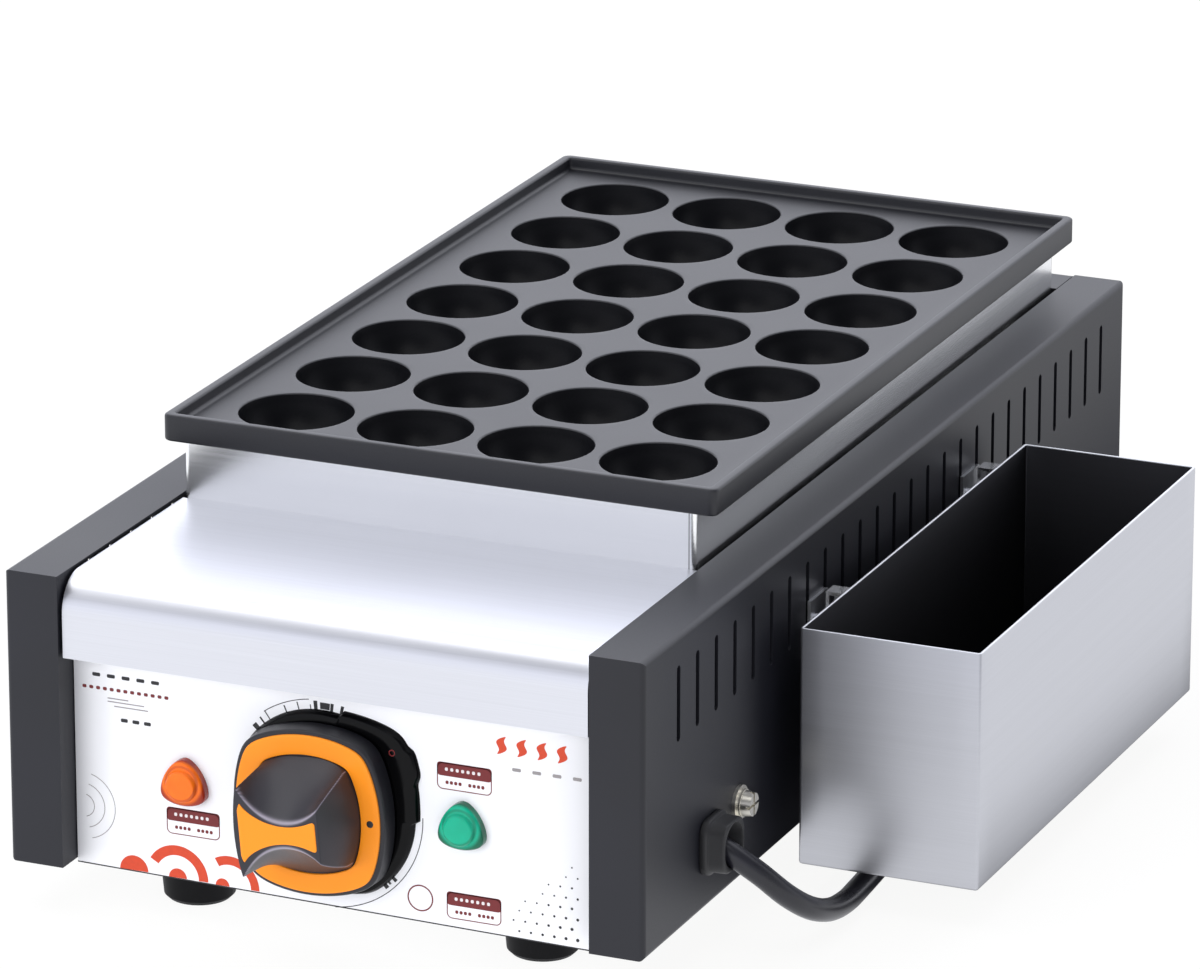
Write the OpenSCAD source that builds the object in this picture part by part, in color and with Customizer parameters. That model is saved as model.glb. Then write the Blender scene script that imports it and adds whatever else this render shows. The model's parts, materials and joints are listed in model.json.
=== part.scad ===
// Countertop takoyaki maker: a cast plate of half-round cups on a steel riser, over two
// hairpin heaters, in a folded steel case with a thermostat knob, two lamps, a side box
// that hangs on the right-hand wall, and a mains lead.
//
// The machine is modelled with x to its right, y to its back and z up from the counter.
// x = 0, y = 0 is the middle of the grid of cups. in_frame() then moves every piece so
// that the origin is at the bottom centre of the whole object without its lead.

/* [Cups and plate] */
// Cups across the plate
cup_columns = 4; // [2:1:4]
// Cups along the plate
cup_rows = 7; // [3:1:7]
// Distance between cups across the plate
cup_pitch_x = 46; // [45:0.5:50]
// Distance between cups along the plate
cup_pitch_y = 47; // [45:0.5:50]
// Radius of a cup at its mouth
cup_r = 20.5; // [17:0.5:21]
// Depth of a cup below the plate's deck
cup_depth = 18; // [14:0.5:20]
// Wall of a cup
cup_wall = 2.5; // [2:0.1:3]
// Deck around the outer cups, from their centres to the plate's side edge
deck_margin_x = 35.7; // [33:0.1:45]
// Deck around the outer cups, from their centres to the plate's front or back edge
deck_margin_y = 34.1; // [30:0.1:45]
// Thickness of the deck
deck_t = 5.1; // [4:0.1:8]
// Height of the raised rim above the deck
rim_h = 4.6; // [2:0.1:12]
// Thickness of the raised rim
rim_t = 3.6; // [2.5:0.1:5]

/* [Riser] */
// Overhang of the plate past the riser at each side
overhang_x = 7.9; // [4:0.1:8]
// Overhang of the plate past the riser at the front and the back
overhang_y = 1.1; // [0.5:0.1:2]
// Height of the riser that shows above the top cover
riser_show_h = 20.3; // [15:0.1:30]
// Sheet of the riser, its tray and the side box
steel_t = 1; // [0.8:0.1:1.2]

/* [Case] */
// Height of the case
body_h = 106; // [102:1:120]
// Case in front of the plate's front edge
front_deck = 93.9; // [90:0.1:110]
// Case behind the plate's back edge
rear_deck = 18.4; // [15:0.1:40]
// Width of the side panels' front and top flanges
flange_w = 20; // [18:0.5:24]
// Gap from the riser to the side panels' top flanges
riser_gap = 1.7; // [1:0.1:3]
// Sheet of the black case panels
case_t = 1.2; // [1:0.1:1.5]
// Rounding of the case's outer folds
fold_r = 2; // [1.6:0.1:3]
// Vent slots in each side panel
slot_count = 26; // [2:1:26]
// Distance between vent slots
slot_pitch = 16.33; // [12:0.01:16.4]
// Length of a vent slot
slot_l = 27; // [15:1:32]
// Width of a vent slot
slot_w = 3; // [2:0.1:5]

/* [Top cover and control panel] */
// Step from the side panels' top down to the cover's top
cover_drop = 1; // [0.5:0.1:2]
// Radius of the cover's rounded front edge
cover_r = 13; // [8:0.5:14]
// Height of the cover's front, from its top to its lower lip
cover_lip_h = 28.6; // [24:0.1:32]
// Setback of the cover's front from the side panels' front
cover_setback = 1.5; // [0.5:0.1:3]
// Gap between the cover and each side panel
cover_gap = 1; // [0.5:0.1:2]
// Setback of the control panel from the side panels' front
panel_recess = 11; // [9:0.5:14]

/* [Knob and lamps] */
// Knob axis from the machine's middle
knob_x = -4; // [-8:0.5:0]
// Height of the knob axis above the case's bottom
knob_rise = 34; // [33:0.1:36]
// Width of the knob
knob_w = 56.4; // [52:0.1:58]
// Height of the knob
knob_h = 58.6; // [54:0.1:60]
// Depth of the knob's skirt
knob_skirt_t = 9; // [7:0.5:12]
// Width of the knob's coloured ring
knob_ring_w = 8.4; // [7:0.1:9]
// Height of the grip above the ring
grip_h = 22; // [18:0.5:26]
// Width of the grip at its top
grip_w = 30.2; // [28:0.1:31]
// Waist of the grip's top
grip_waist = 8.2; // [7:0.1:9]
// Turn of the knob from level, in degrees
knob_turned = 5; // [0:1:10]
// Width and height of the dial bezel
bezel_w = 66.8; // [66:0.1:70]
// Thickness of the dial bezel
bezel_t = 2.6; // [2.4:0.1:3.5]
// Diameter of the thermostat's shaft
shaft_d = 6; // [5:0.1:7]
// Distance of each lamp from the knob axis
lamp_offset = 52; // [49:0.5:56]
// Width of a lamp lens
lens_w = 18.2; // [15:0.1:19]
// Diameter of a lamp's barrel
lamp_barrel_d = 12; // [10:0.1:13]

/* [Heating] */
// Diameter of a heater tube
heater_d = 8; // [6:0.1:9]
// Diameter of the thermostat's bulb
bulb_d = 6; // [4:0.1:7]
// Thickness of the insulation pad
pad_t = 10; // [6:0.5:12]

/* [Side box] */
// Gap between the case and the side box
box_gap = 10.7; // [10:0.1:16]
// Width of the side box, away from the case
box_w = 66.2; // [50:0.1:100]
// Length of the side box, along the case
box_l = 217.5; // [190:0.5:240]
// Height of the side box
box_h = 86.4; // [70:0.1:87]
// Side box's middle, behind the middle of the grid of cups
box_y = -50; // [-60:1:-30]
// Height of the side box's bottom above the counter
box_z = 15.4; // [13:0.1:20]

/* [Feet and lead] */
// Height of the case's bottom above the counter
foot_h = 18; // [15:0.5:25]
// Radius of a foot at its top
foot_r = 14; // [12:0.1:16]
// Distance between the feet across the machine
foot_span_x = 130; // [110:1:150]
// Diameter of the mains cord
cord_d = 8.2; // [7.5:0.1:8.4]

/* [Hidden] */

$fn = 48;
cut = 1;          // how far a cutting shape runs past the face it cuts
fit = 0.3;        // clearance between pieces that sit in or beside each other
screw_fit = 0.05; // radial clearance of a screw in its thread, and of a shaft in its bore

// Plate and riser
plate_w = (cup_columns - 1) * cup_pitch_x + 2 * deck_margin_x;
plate_l = (cup_rows - 1) * cup_pitch_y + 2 * deck_margin_y;
riser_w = plate_w - 2 * overhang_x;
riser_l = plate_l - 2 * overhang_y;
cup_sphere_r = (cup_r * cup_r + cup_depth * cup_depth) / (2 * cup_depth);
cup_rise = cup_sphere_r - cup_depth;
cup_x = [for (i = [0 : cup_columns - 1]) (i - (cup_columns - 1) / 2) * cup_pitch_x];
cup_y = [for (j = [0 : cup_rows - 1]) (j - (cup_rows - 1) / 2) * cup_pitch_y];
column_x = max(cup_x) - cup_pitch_x / 2;
stud_y = max(cup_y) - cup_pitch_y / 2;

// Case
body_w = riser_w + 2 * (riser_gap + flange_w);
inner_w = body_w - 2 * flange_w;
wall_x = body_w / 2 - case_t;
y_front = -plate_l / 2 - front_deck;
y_back = plate_l / 2 + rear_deck;
body_l = y_back - y_front;
z_body = foot_h;
z_top = z_body + body_h;
z_floor_plate = z_body + case_t;
front_return = 17;
case_clear = 0.2;
strip_lap = 6;
floor_edge_h = 9;
slot_y = (y_front + y_back) / 2 + 2;
slot_drop = 10.3;

// Top cover and control panel
z_cover = z_top - cover_drop;
y_cover = y_front + cover_setback;
cover_half = inner_w / 2 - cover_gap;
z_lip = z_cover - cover_lip_h;
y_panel = y_front + panel_recess;
panel_half = inner_w / 2 - fit;
panel_tuck = 12;
panel_top = z_cover - panel_tuck;
panel_foot = 11;
panel_return = 12;
cover_turn_h = 2.6;

// Riser and plate heights
z_deck_under = z_cover + riser_show_h;
z_deck = z_deck_under + deck_t;
z_rim = z_deck + rim_h;
z_cup_under = z_deck - cup_depth - cup_wall;
plate_corner_r = 3;
rim_corner_r = 2;

// Heater stack, from the cross rails up
heater_drop = 9.6;
z_heater = z_cup_under - heater_drop - heater_d / 2;
bar_t = 2;
z_bar = z_heater - heater_d / 2 - fit;
bar_w = 12;
stud_r = 3;
stud_hole_r = 3.3;
stud_in = 9;
boss_r = 6;
boss_l = 16;
nut_h = 5;
nut_r = 5.77;
stud_tail = 2;
tray_t = 0.8;
tray_rim_h = 7;
tray_inset = 3;
z_tray = z_bar - bar_t - nut_h - stud_tail - 3.5;
z_pad = z_tray - tray_t - pad_t;
riser_flange = 12;
z_riser = z_pad - steel_t;
rail_h = 15;
rail_w = 20;
rail_t = 1.5;
rail_y = riser_l / 2 - 25;
bar_tab_h = 10;

// Heaters
element_x = cup_pitch_x / 2;
element_back = max(cup_y) - 11;
element_front = -riser_l / 2 - 11;
element_end_l = 8;
element_end_r = 5;
element_pin_r = 2;
element_pin_l = 10;
element_hole_r = heater_d / 2 + fit;
element_columns = [for (i = [0 : 2 : cup_columns - 2]) (cup_x[i] + cup_x[i + 1]) / 2];

// Knob and dial
z_knob = z_body + knob_rise;
bezel_front = y_panel - bezel_t;
knob_gap = 0.4;
lug_r = 8;
lug_in = 7.8;
bezel_corner = 5.3;
bezel_shift = [2.7, 1.9];
skirt_back = bezel_front - knob_gap;
ring_front = skirt_back - knob_skirt_t;
ring_t = 1.6;
ring_proud = 0.4;
grip_front = ring_front - grip_h;
shaft_r = shaft_d / 2;
shaft_flat = shaft_r - 1;
shaft_reach = 16;
shaft_in = 15;
squircle_bulge = 5;
corner_share = 0.585;   // reach of the knob's corners, as a share of its width
foot_share = 0.6;       // the same for the space inside the ring
ring_margin = 0.9;      // skirt that shows around the ring
scoop_r = 18;
scoop_x = 3;
scoop_base = knob_h / 2 - knob_ring_w - grip_waist / 2;
scoop_tilt = atan(scoop_base / grip_h);
grip_x = -0.8;          // middle of the grip's top
grip_end_l = 26;        // height of the grip's top at its left end
grip_end_r = 16.8;      // and at its right end
grip_cap_t = 3;
insert_t = 1.6;
insert_margin = 0.9;
insert_r = 24;
insert_waist = 6.2;
insert_fit = 0.06;
thermostat_w = 40;
thermostat_h = 30;
thermostat_l = 33;
thermostat_plate_t = 1.5;
thermostat_ear = 4;
thermostat_corner_r = 2;
thermostat_screw_l = 8;
thermostat_screw_x = 14;
thermostat_screw_r = 2;
pan_head_r = 3.6;
pan_head_h = 2.1;
shaft_hole_r = 6;
capillary_r = 1;
z_bulb = z_bar + bulb_d / 2 + fit;
bulb_l = 78;
bulb_y = -stud_y - 32;

// Lamps
lens_t = 4.2;
lens_boss_d = 11.4;
lens_boss_h = 1.8;
lens_corner_r = 5.1;
lens_draft = 0.8;
lens_boss_draft = 1.4;
lamp_hole_r = lamp_barrel_d / 2 + fit;
lamp_l = 22;
lamp_nut_t = 4;
lamp_nut_r = 9;
lamp_blade = [0.8, 4.8, 7];
lamp_blade_x = 3;
lamp_x = [knob_x - lamp_offset, knob_x + lamp_offset];

// Side box and its hangers
x_box = body_w / 2 + box_gap;
// Each hook hangs between two vent slots, counted from the middle of their row.
hook_slots = [-5, 4];
hook_y = [for (k = hook_slots) slot_y + k * slot_pitch];
hanger_t = 1.2;
hook_w = 7;
hook_below_rim = 1.5;
hook_drop = 10;
hook_offset = 1;
hook_tab_h = 15;
z_hook = box_z + box_h - hook_below_rim;
hook_play = (box_gap - 4 * hanger_t) / 3;
hanger_w = 16;
hanger_depth = 12;
hanger_leg_h = 22;
hanger_screw_r = 2;
hanger_head_r = 3.2;
hanger_head_h = 2.2;
hanger_screw_in = 5;
hanger_screw_side = 4;
z_hanger_screw = z_hook - 10;

// Earth bolt, gland and terminals
earth_y = y_front + 82;
z_earth = z_body + 28.5;
earth_r = 2.5;
earth_washer = [6.2, 1.2];
earth_teeth = [5, 1.2];
earth_head = [4.6, 3.4];
earth_slot_w = 1;
earth_nut = [4.6, 4];
earth_in = 7;
gland_y = y_front + 57;
z_gland = z_body + 23;
gland_out = 9;
gland_w = 20;
gland_corner = 5;
gland_shank_r = 7.5;
gland_step = 1.2;
gland_draft = 1.5;
gland_collar = [1, 4];
gland_in = 20;
gland_flange_t = 3;
gland_mouth_r = 8.2;
gland_floor = 0.9;
cord_r = cord_d / 2;
block_size = [20, 42, 15];
block_pitch = 12;
block_hole = [2.4, 9];
wire_r = 1.2;
block_x = body_w / 2 - 62;
block_y = gland_y + 8;

// Feet and case screws
foot_x = foot_span_x / 2;
foot_y = [y_front + 38, y_back - 38];
foot_taper = 1.5;
foot_recess_r = 5.5;
foot_recess_h = 9;
foot_screw_r = 2.5;
foot_head_r = 4.6;
foot_head_h = 3;
foot_screw_in = 5;
foot_edge = 1.5;
case_screw_x = body_w / 2 - flange_w / 2;
case_screw_z = [z_body + 22, z_top - 24];
case_screw_r = 1.75;
case_screw_l = 6;
screw_head_r = 3.5;
screw_head_h = 2;

// The free lead leaves the gland and runs under the side box to the back of the machine.
// x, y, z of the cord's middle line, in the machine's own frame.
lead_points = [[120.8, -212, 40.6], [127.5, -211.8, 37], [136, -209, 30.5], [143, -203, 22],
    [147.5, -193, 14.5], [149, -179, 9], [148.5, -163, 6], [147, -147, 4.8], [145, -120, 4.5],
    [142, -80, 4.5], [139, -30, 4.5], [136, 20, 4.5], [133, 70, 4.5], [130, 115, 4.5],
    [124, 152, 4.5], [112, 181, 4.6], [92, 199, 4.8], [60, 205.5, 5.2], [20, 205.5, 5.2],
    [-14, 205.5, 5.2]];
lead_sides = 10;
lead_step = 15;

// The rest of the cord is wound behind the machine: two loops in, half a loop that
// climbs to the second layer, and two loops out.
coil_turns = 4.5;
coil_in_r = 32;
coil_pitch = 9;
coil_rings = 24;
coil_sides = 6;
coil_end = 16;
coil_z = 5.2;
coil_lift = cord_d + 0.7;
coil_x = -30;
coil_y = 205.5 + coil_in_r + coil_pitch * coil_turns / 2;
tie_t = 1;
tie_w = 8;
tie_gap = 0.4;
tie_corner_r = 2;

// Plug
plug_tail_l = 24;
plug_l = 30;
plug_w = 36;
plug_h = 26;
plug_tail_r = 8;
plug_rib_pitch = 4.4;
plug_rib_t = 1.6;
plug_rib_step = 0.5;
plug_corner_r = 5;
plug_waist_r = 20;
plug_waist_in = 3;
pin_size = [18, 6.3, 1.6];
pin_spread = 7.9;
pin_rise = 3;
pin_drop = 7;
pin_tilt = 30;

// The whole object without its lead runs from the left panel to the side box and from
// the knob's grip to the heads of the rear screws.
frame_x = (x_box + box_w - body_w / 2) / 2;
frame_y = (grip_front + y_back + screw_head_h) / 2;

BLACK = [0.10, 0.10, 0.12];
STEEL = [0.78, 0.78, 0.82];
ZINC = [0.66, 0.67, 0.68];
BRASS = [0.80, 0.66, 0.36];
ORANGE = [0.96, 0.50, 0.14];

module in_frame() {
    translate([-frame_x, -frame_y, 0]) children();
}

// ---- Shared shapes ----

// Rectangle from a low corner to a high corner, with all its corners rounded.
module round_rect(low, high, r) {
    translate([low[0] + r, low[1]]) square([high[0] - low[0] - 2 * r, high[1] - low[1]]);
    translate([low[0], low[1] + r]) square([high[0] - low[0], high[1] - low[1] - 2 * r]);
    for (x = [low[0] + r, high[0] - r], y = [low[1] + r, high[1] - r]) {
        translate([x, y]) circle(r);
    }
}

module block(low, high) {
    translate(low) cube(high - low);
}

// Stands a profile drawn in x and z up, and runs it from y0 to y1.
module along_y(y0, y1) {
    translate([0, y1, 0]) rotate([90, 0, 0]) linear_extrude(y1 - y0) children();
}

// Stands a profile drawn in y and z up, and runs it from x0 to x1.
module along_x(x0, x1) {
    translate([x0, 0, 0]) rotate([90, 0, 90]) linear_extrude(x1 - x0) children();
}

// Round bar from one point to another.
module rod(a, b, r) {
    d = b - a;
    length = norm(d);
    translate(a) rotate([0, acos(d[2] / length), atan2(d[1], d[0])]) cylinder(h = length, r = r);
}

// Thin wire on a smooth curve through a list of points. up is any direction that the
// wire never runs along.
module wire(points, r, up = [0, 0, 1]) {
    n = 3;
    last = len(points) - 2;
    skin([for (i = [0 : last], k = [0 : (i == last ? n : n - 1)])
        ring(on_curve(points, i, k / n), curve_way(points, i, k / n), r, 6, up)]);
}

// Pan-head screw along +z, with its head's underside at z = 0 and its shank below.
module pan_screw(head_r, head_h, shank_r, shank_l) {
    translate([0, 0, -shank_l]) cylinder(h = shank_l, r = shank_r);
    difference() {
        union() {
            cylinder(h = head_h / 2, r = head_r);
            translate([0, 0, head_h / 2]) cylinder(h = head_h / 2, r1 = head_r, r2 = head_r * 0.75);
        }
        for (a = [0, 90]) {
            rotate(a) block([-head_r / 2, -0.4, head_h * 0.45], [head_r / 2, 0.4, head_h + cut]);
        }
    }
}

module hex_nut(r, h, bore_r) {
    difference() {
        cylinder(h = h, r = r, $fn = 6);
        translate([0, 0, -cut]) cylinder(h = h + 2 * cut, r = bore_r);
    }
}

// Square with four bulged sides, its corners taken off by a circle.
module squircle(w, h, bulge, corner_r, n = 160) {
    side_r = (h * h / 4 * 0.64 + bulge * bulge) / (2 * bulge);
    top_r = (w * w / 4 * 0.64 + bulge * bulge) / (2 * bulge);
    intersection() {
        translate([side_r - w / 2, 0]) circle(side_r, $fn = n);
        translate([w / 2 - side_r, 0]) circle(side_r, $fn = n);
        translate([0, top_r - h / 2]) circle(top_r, $fn = n);
        translate([0, h / 2 - top_r]) circle(top_r, $fn = n);
        circle(corner_r, $fn = n);
    }
}

// Places a shape drawn in the knob's own frame (x right, y up, z towards the user),
// with its z = 0 at the plane y_plane.
module on_dial(y_plane) {
    translate([knob_x, y_plane, z_knob]) rotate([90, 0, 0]) children();
}

// The same for a piece that turns with the knob.
module on_knob(y_plane) {
    on_dial(y_plane) rotate(knob_turned) children();
}

// Closed tube of triangles over a list of rings of points.
module skin(rings) {
    n = len(rings[0]);
    last = len(rings) - 1;
    points = [for (ring = rings) each ring];
    side = [for (i = [0 : last - 1], j = [0 : n - 1])
        let (a = i * n + j, b = i * n + (j + 1) % n) each [[a, b, b + n], [a, b + n, a + n]]];
    start = [for (j = [1 : n - 2]) [0, j + 1, j]];
    end = [for (j = [1 : n - 2]) [last * n, last * n + j, last * n + j + 1]];
    polyhedron(points, concat(side, start, end), convexity = 10);
}

function unit(v) = v / norm(v);

// Ring of n points of radius r at p, square to t, with its first point square to up.
function ring(p, t, r, n, up = [0, 0, 1]) =
    let (side = unit(cross(t, up)), over = cross(side, t))
    [for (k = [0 : n - 1]) p + r * (cos(360 * k / n) * side + sin(360 * k / n) * over)];

// Point and direction at parameter u of a smooth curve through the points.
function ahead(p, i) = p[min(i, len(p) - 1)];
function behind(p, i) = p[max(i, 0)];
function on_curve(p, i, u) =
    let (a = behind(p, i - 1), b = p[i], c = p[i + 1], d = ahead(p, i + 2))
    0.5 * (2 * b + (c - a) * u + (2 * a - 5 * b + 4 * c - d) * u * u
        + (3 * b - a - 3 * c + d) * u * u * u);
function curve_way(p, i, u) =
    let (a = behind(p, i - 1), b = p[i], c = p[i + 1], d = ahead(p, i + 2))
    unit(0.5 * ((c - a) + 2 * (2 * a - 5 * b + 4 * c - d) * u
        + 3 * (3 * b - a - 3 * c + d) * u * u));

// Number of rings that a stretch between two points takes.
function steps(p, i, step) = max(1, round(norm(p[i + 1] - p[i]) / step));

// ---- Case ----

// Folded side panel on the right: an outer wall with flanges at the front, top, back
// and bottom, and a front flange that turns back beside the control panel.
module side_shell() {
    outer = body_w / 2;
    difference() {
        intersection() {
            along_y(y_front, y_back) {
                round_rect([inner_w / 2 - 2 * fold_r, z_body], [outer, z_top], fold_r);
            }
            linear_extrude(z_top) {
                round_rect([inner_w / 2 - 2 * fold_r, y_front], [outer, y_back], fold_r);
            }
            block([inner_w / 2, y_front, z_body], [outer, y_back, z_top]);
        }
        block([inner_w / 2 - cut, y_front + case_t, z_body + case_t],
            [wall_x, y_back - case_t, z_top - case_t]);
    }
    block([inner_w / 2, y_front + case_t, z_body + case_t],
        [inner_w / 2 + case_t, y_front + front_return, z_top - case_t]);
}

// Row of upright vent slots, each with round ends, cut through the wall at x.
module vent_slots(x) {
    z_mid = z_top - slot_drop - slot_l / 2;
    half = slot_l / 2 - slot_w / 2;
    along_x(x - 3 * case_t, x + 3 * case_t) {
        for (i = [0 : slot_count - 1]) {
            translate([slot_y + (i - (slot_count - 1) / 2) * slot_pitch, z_mid]) {
                translate([-slot_w / 2, -half]) square([slot_w, 2 * half]);
                for (z = [-half, half]) translate([0, z]) circle(slot_w / 2, $fn = 24);
            }
        }
    }
}

// Holes in the back flange for the case screws.
module case_screw_holes(r) {
    for (side = [-1, 1], z = case_screw_z) {
        translate([side * case_screw_x, y_back + cut, z]) rotate([90, 0, 0]) {
            cylinder(h = case_screw_l, r = r);
        }
    }
}

module side_panel_left() {
    color(BLACK) in_frame() difference() {
        mirror([1, 0, 0]) side_shell();
        vent_slots(-body_w / 2);
        case_screw_holes(case_screw_r + screw_fit);
    }
}

module side_panel_right() {
    color(BLACK) in_frame() difference() {
        side_shell();
        vent_slots(body_w / 2);
        case_screw_holes(case_screw_r + screw_fit);
        translate([wall_x - cut, gland_y, z_gland]) rotate([0, 90, 0]) {
            cylinder(h = case_t + 2 * cut, r = gland_shank_r + fit);
        }
        translate([wall_x - cut, earth_y, z_earth]) rotate([0, 90, 0]) {
            cylinder(h = case_t + 2 * cut, r = earth_r + screw_fit);
        }
        for (y = hook_y) {
            translate([wall_x - cut, y - hanger_screw_side, z_hanger_screw]) rotate([0, 90, 0]) {
                cylinder(h = case_t + 2 * cut, r = hanger_screw_r + screw_fit);
            }
        }
    }
}

// Back wall whose top turns forward to the riser and whose bottom turns in, with a
// strip at each side that lies inside the side panels' back flanges.
module rear_panel() {
    half = inner_w / 2 - fit;
    y_strip = riser_l / 2 + fit;
    color(BLACK) in_frame() difference() {
        union() {
            along_x(-half, half) difference() {
                round_rect([y_strip - 2 * fold_r, z_body], [y_back, z_top], fold_r);
                translate([y_strip - 2 * fold_r - cut, z_body - cut]) {
                    square([2 * fold_r + cut, body_h + 2 * cut]);
                }
                translate([y_strip - cut, z_body + case_t]) {
                    square([y_back - case_t - y_strip + cut, body_h - 2 * case_t]);
                }
            }
            for (side = [-1, 1]) {
                mirror([side < 0 ? 1 : 0, 0, 0]) {
                    block([half - strip_lap, y_back - 2 * case_t, z_body + 4 * case_t],
                        [body_w / 2 - 3 * case_t, y_back - case_t, z_top - 3 * case_t]);
                }
            }
        }
        case_screw_holes(case_screw_r + screw_fit);
    }
}

// Floor of the case, with upturned edges at the sides.
module base_plate() {
    half = wall_x - case_clear;
    y0 = y_front + front_return + fit;
    y1 = y_back - 3 * case_t;
    color(ZINC) in_frame() difference() {
        union() {
            block([-half, y0, z_floor_plate], [half, y1, z_floor_plate + case_t]);
            for (x = [-half, half - case_t]) {
                block([x, y0, z_floor_plate], [x + case_t, y1, z_floor_plate + floor_edge_h]);
            }
        }
        for (x = [-foot_x, foot_x], y = foot_y) {
            translate([x, y, z_floor_plate - cut]) {
                cylinder(h = case_t + 2 * cut, r = foot_screw_r + screw_fit);
            }
        }
    }
}

// Sheet with a rounded front edge and a lip that turns back to the control panel.
module top_cover() {
    y_end = -riser_l / 2;
    color(STEEL) in_frame() along_x(-cover_half, cover_half) {
        difference() {
            cover_outline(0);
            cover_outline(steel_t);
        }
        translate([y_cover, z_lip]) square([y_panel - y_cover, steel_t]);
        translate([y_end - steel_t, z_cover - cover_turn_h]) square([steel_t, cover_turn_h]);
    }
}

module cover_outline(inset) {
    y0 = y_cover + inset;
    z1 = z_cover - inset;
    r = cover_r - inset;
    reach = cut * sign(inset);
    translate([y0, z_lip - reach]) square([-riser_l / 2 - y0 + reach, z1 - r - z_lip + reach]);
    translate([y0 + r, z_lip - reach]) square([-riser_l / 2 - y0 - r + reach, z1 - z_lip + reach]);
    translate([y0 + r, z1 - r]) circle(r, $fn = 96);
}

// Front sheet behind the knob and the lamps, folded back at its bottom and its sides.
module control_panel() {
    color([0.95, 0.95, 0.96]) in_frame() difference() {
        union() {
            block([-panel_half, y_panel, z_body], [panel_half, y_panel + case_t, panel_top]);
            block([-panel_half, y_panel, z_body], [panel_half, y_panel + panel_foot, z_body + case_t]);
            for (x = [-panel_half, panel_half - case_t]) {
                block([x, y_panel, z_floor_plate + 2 * case_t],
                    [x + case_t, y_panel + panel_return, panel_top]);
            }
        }
        on_dial(y_panel + case_t + cut) cylinder(h = case_t + 2 * cut, r = shaft_hole_r);
        for (x = [-thermostat_screw_x, thermostat_screw_x]) {
            on_dial(y_panel + case_t + cut) translate([x, 0, 0]) {
                cylinder(h = case_t + 2 * cut, r = thermostat_screw_r + screw_fit);
            }
        }
        for (x = lamp_x) {
            translate([x, y_panel + case_t + cut, z_knob]) rotate([90, 0, 0]) {
                cylinder(h = case_t + 2 * cut, r = lamp_hole_r);
            }
        }
    }
}

// ---- Riser, plate and heaters ----

// Upright box of sheet that carries the plate and holds the heaters, open at the top,
// with its lower edge turned in.
module riser() {
    x1 = riser_w / 2;
    y1 = riser_l / 2;
    color(STEEL) in_frame() difference() {
        translate([0, 0, z_riser]) linear_extrude(z_deck_under - z_riser) {
            round_rect([-x1, -y1], [x1, y1], fold_r);
        }
        block([-x1 + steel_t, -y1 + steel_t, z_riser + steel_t],
            [x1 - steel_t, y1 - steel_t, z_deck_under + cut]);
        block([-x1 + riser_flange, -y1 + riser_flange, z_riser - cut],
            [x1 - riser_flange, y1 - riser_flange, z_riser + 2 * steel_t]);
        for (c = element_columns, side = [-1, 1]) {
            translate([c + side * element_x, -y1 + 3 * steel_t, z_heater]) rotate([90, 0, 0]) {
                cylinder(h = 6 * steel_t, r = element_hole_r);
            }
        }
        translate([0, -y1 + 3 * steel_t, z_bulb]) rotate([90, 0, 0]) {
            cylinder(h = 6 * steel_t, r = capillary_r + fit);
        }
    }
}

// Cast plate: a deck with a raised rim, half-round cups that show below it as domes,
// and a boss between the cups at each hold-down stud.
module cooking_plate() {
    x1 = plate_w / 2;
    y1 = plate_l / 2;
    color([0.20, 0.21, 0.24]) in_frame() difference() {
        union() {
            translate([0, 0, z_deck_under]) linear_extrude(z_rim - z_deck_under) {
                round_rect([-x1, -y1], [x1, y1], plate_corner_r);
            }
            each_cup() intersection() {
                translate([0, 0, cup_rise]) sphere(cup_sphere_r + cup_wall, $fn = 64);
                translate([0, 0, -cup_depth - cup_wall - cut]) {
                    cylinder(h = cup_depth + cup_wall + cut, r = cup_sphere_r + 2 * cup_wall);
                }
            }
            each_stud() translate([0, 0, z_deck_under - boss_l]) {
                cylinder(h = boss_l + cut, r = boss_r);
            }
        }
        translate([0, 0, z_deck]) linear_extrude(rim_h + cut) {
            round_rect([-x1 + rim_t, -y1 + rim_t], [x1 - rim_t, y1 - rim_t], rim_corner_r);
        }
        each_cup() translate([0, 0, cup_rise]) sphere(cup_sphere_r, $fn = 64);
        each_stud() translate([0, 0, z_deck_under - boss_l - cut]) {
            cylinder(h = stud_in + cut, r = stud_r + screw_fit);
        }
    }
}

module each_cup() {
    for (x = cup_x, y = cup_y) translate([x, y, z_deck]) children();
}

module each_stud() {
    for (x = [-column_x, column_x], y = [-stud_y, stud_y]) translate([x, y, 0]) children();
}

// Two angle rails between the side walls, on which the riser stands.
module cross_rails() {
    color(ZINC) in_frame() for (side = [-1, 1]) {
        mirror([0, side < 0 ? 1 : 0, 0]) {
            block([-wall_x, rail_y - rail_w / 2, z_riser - rail_t], [wall_x, rail_y + rail_w / 2, z_riser]);
            block([-wall_x, rail_y - rail_w / 2, z_riser - rail_h],
                [wall_x, rail_y - rail_w / 2 + rail_t, z_riser]);
        }
    }
}

// Bright tray below the heaters, on the insulation pad.
module heat_tray() {
    x1 = riser_w / 2 - steel_t - tray_inset;
    y1 = riser_l / 2 - steel_t - tray_inset;
    color(STEEL) in_frame() difference() {
        block([-x1, -y1, z_tray - tray_t], [x1, y1, z_tray + tray_rim_h]);
        block([-x1 + tray_t, -y1 + tray_t, z_tray], [x1 - tray_t, y1 - tray_t, z_tray + tray_rim_h + cut]);
    }
}

module insulation_pad() {
    x1 = riser_w / 2 - steel_t - fit;
    y1 = riser_l / 2 - steel_t - fit;
    color([0.93, 0.91, 0.85]) in_frame() block([-x1, -y1, z_pad], [x1, y1, z_pad + pad_t]);
}

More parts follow.
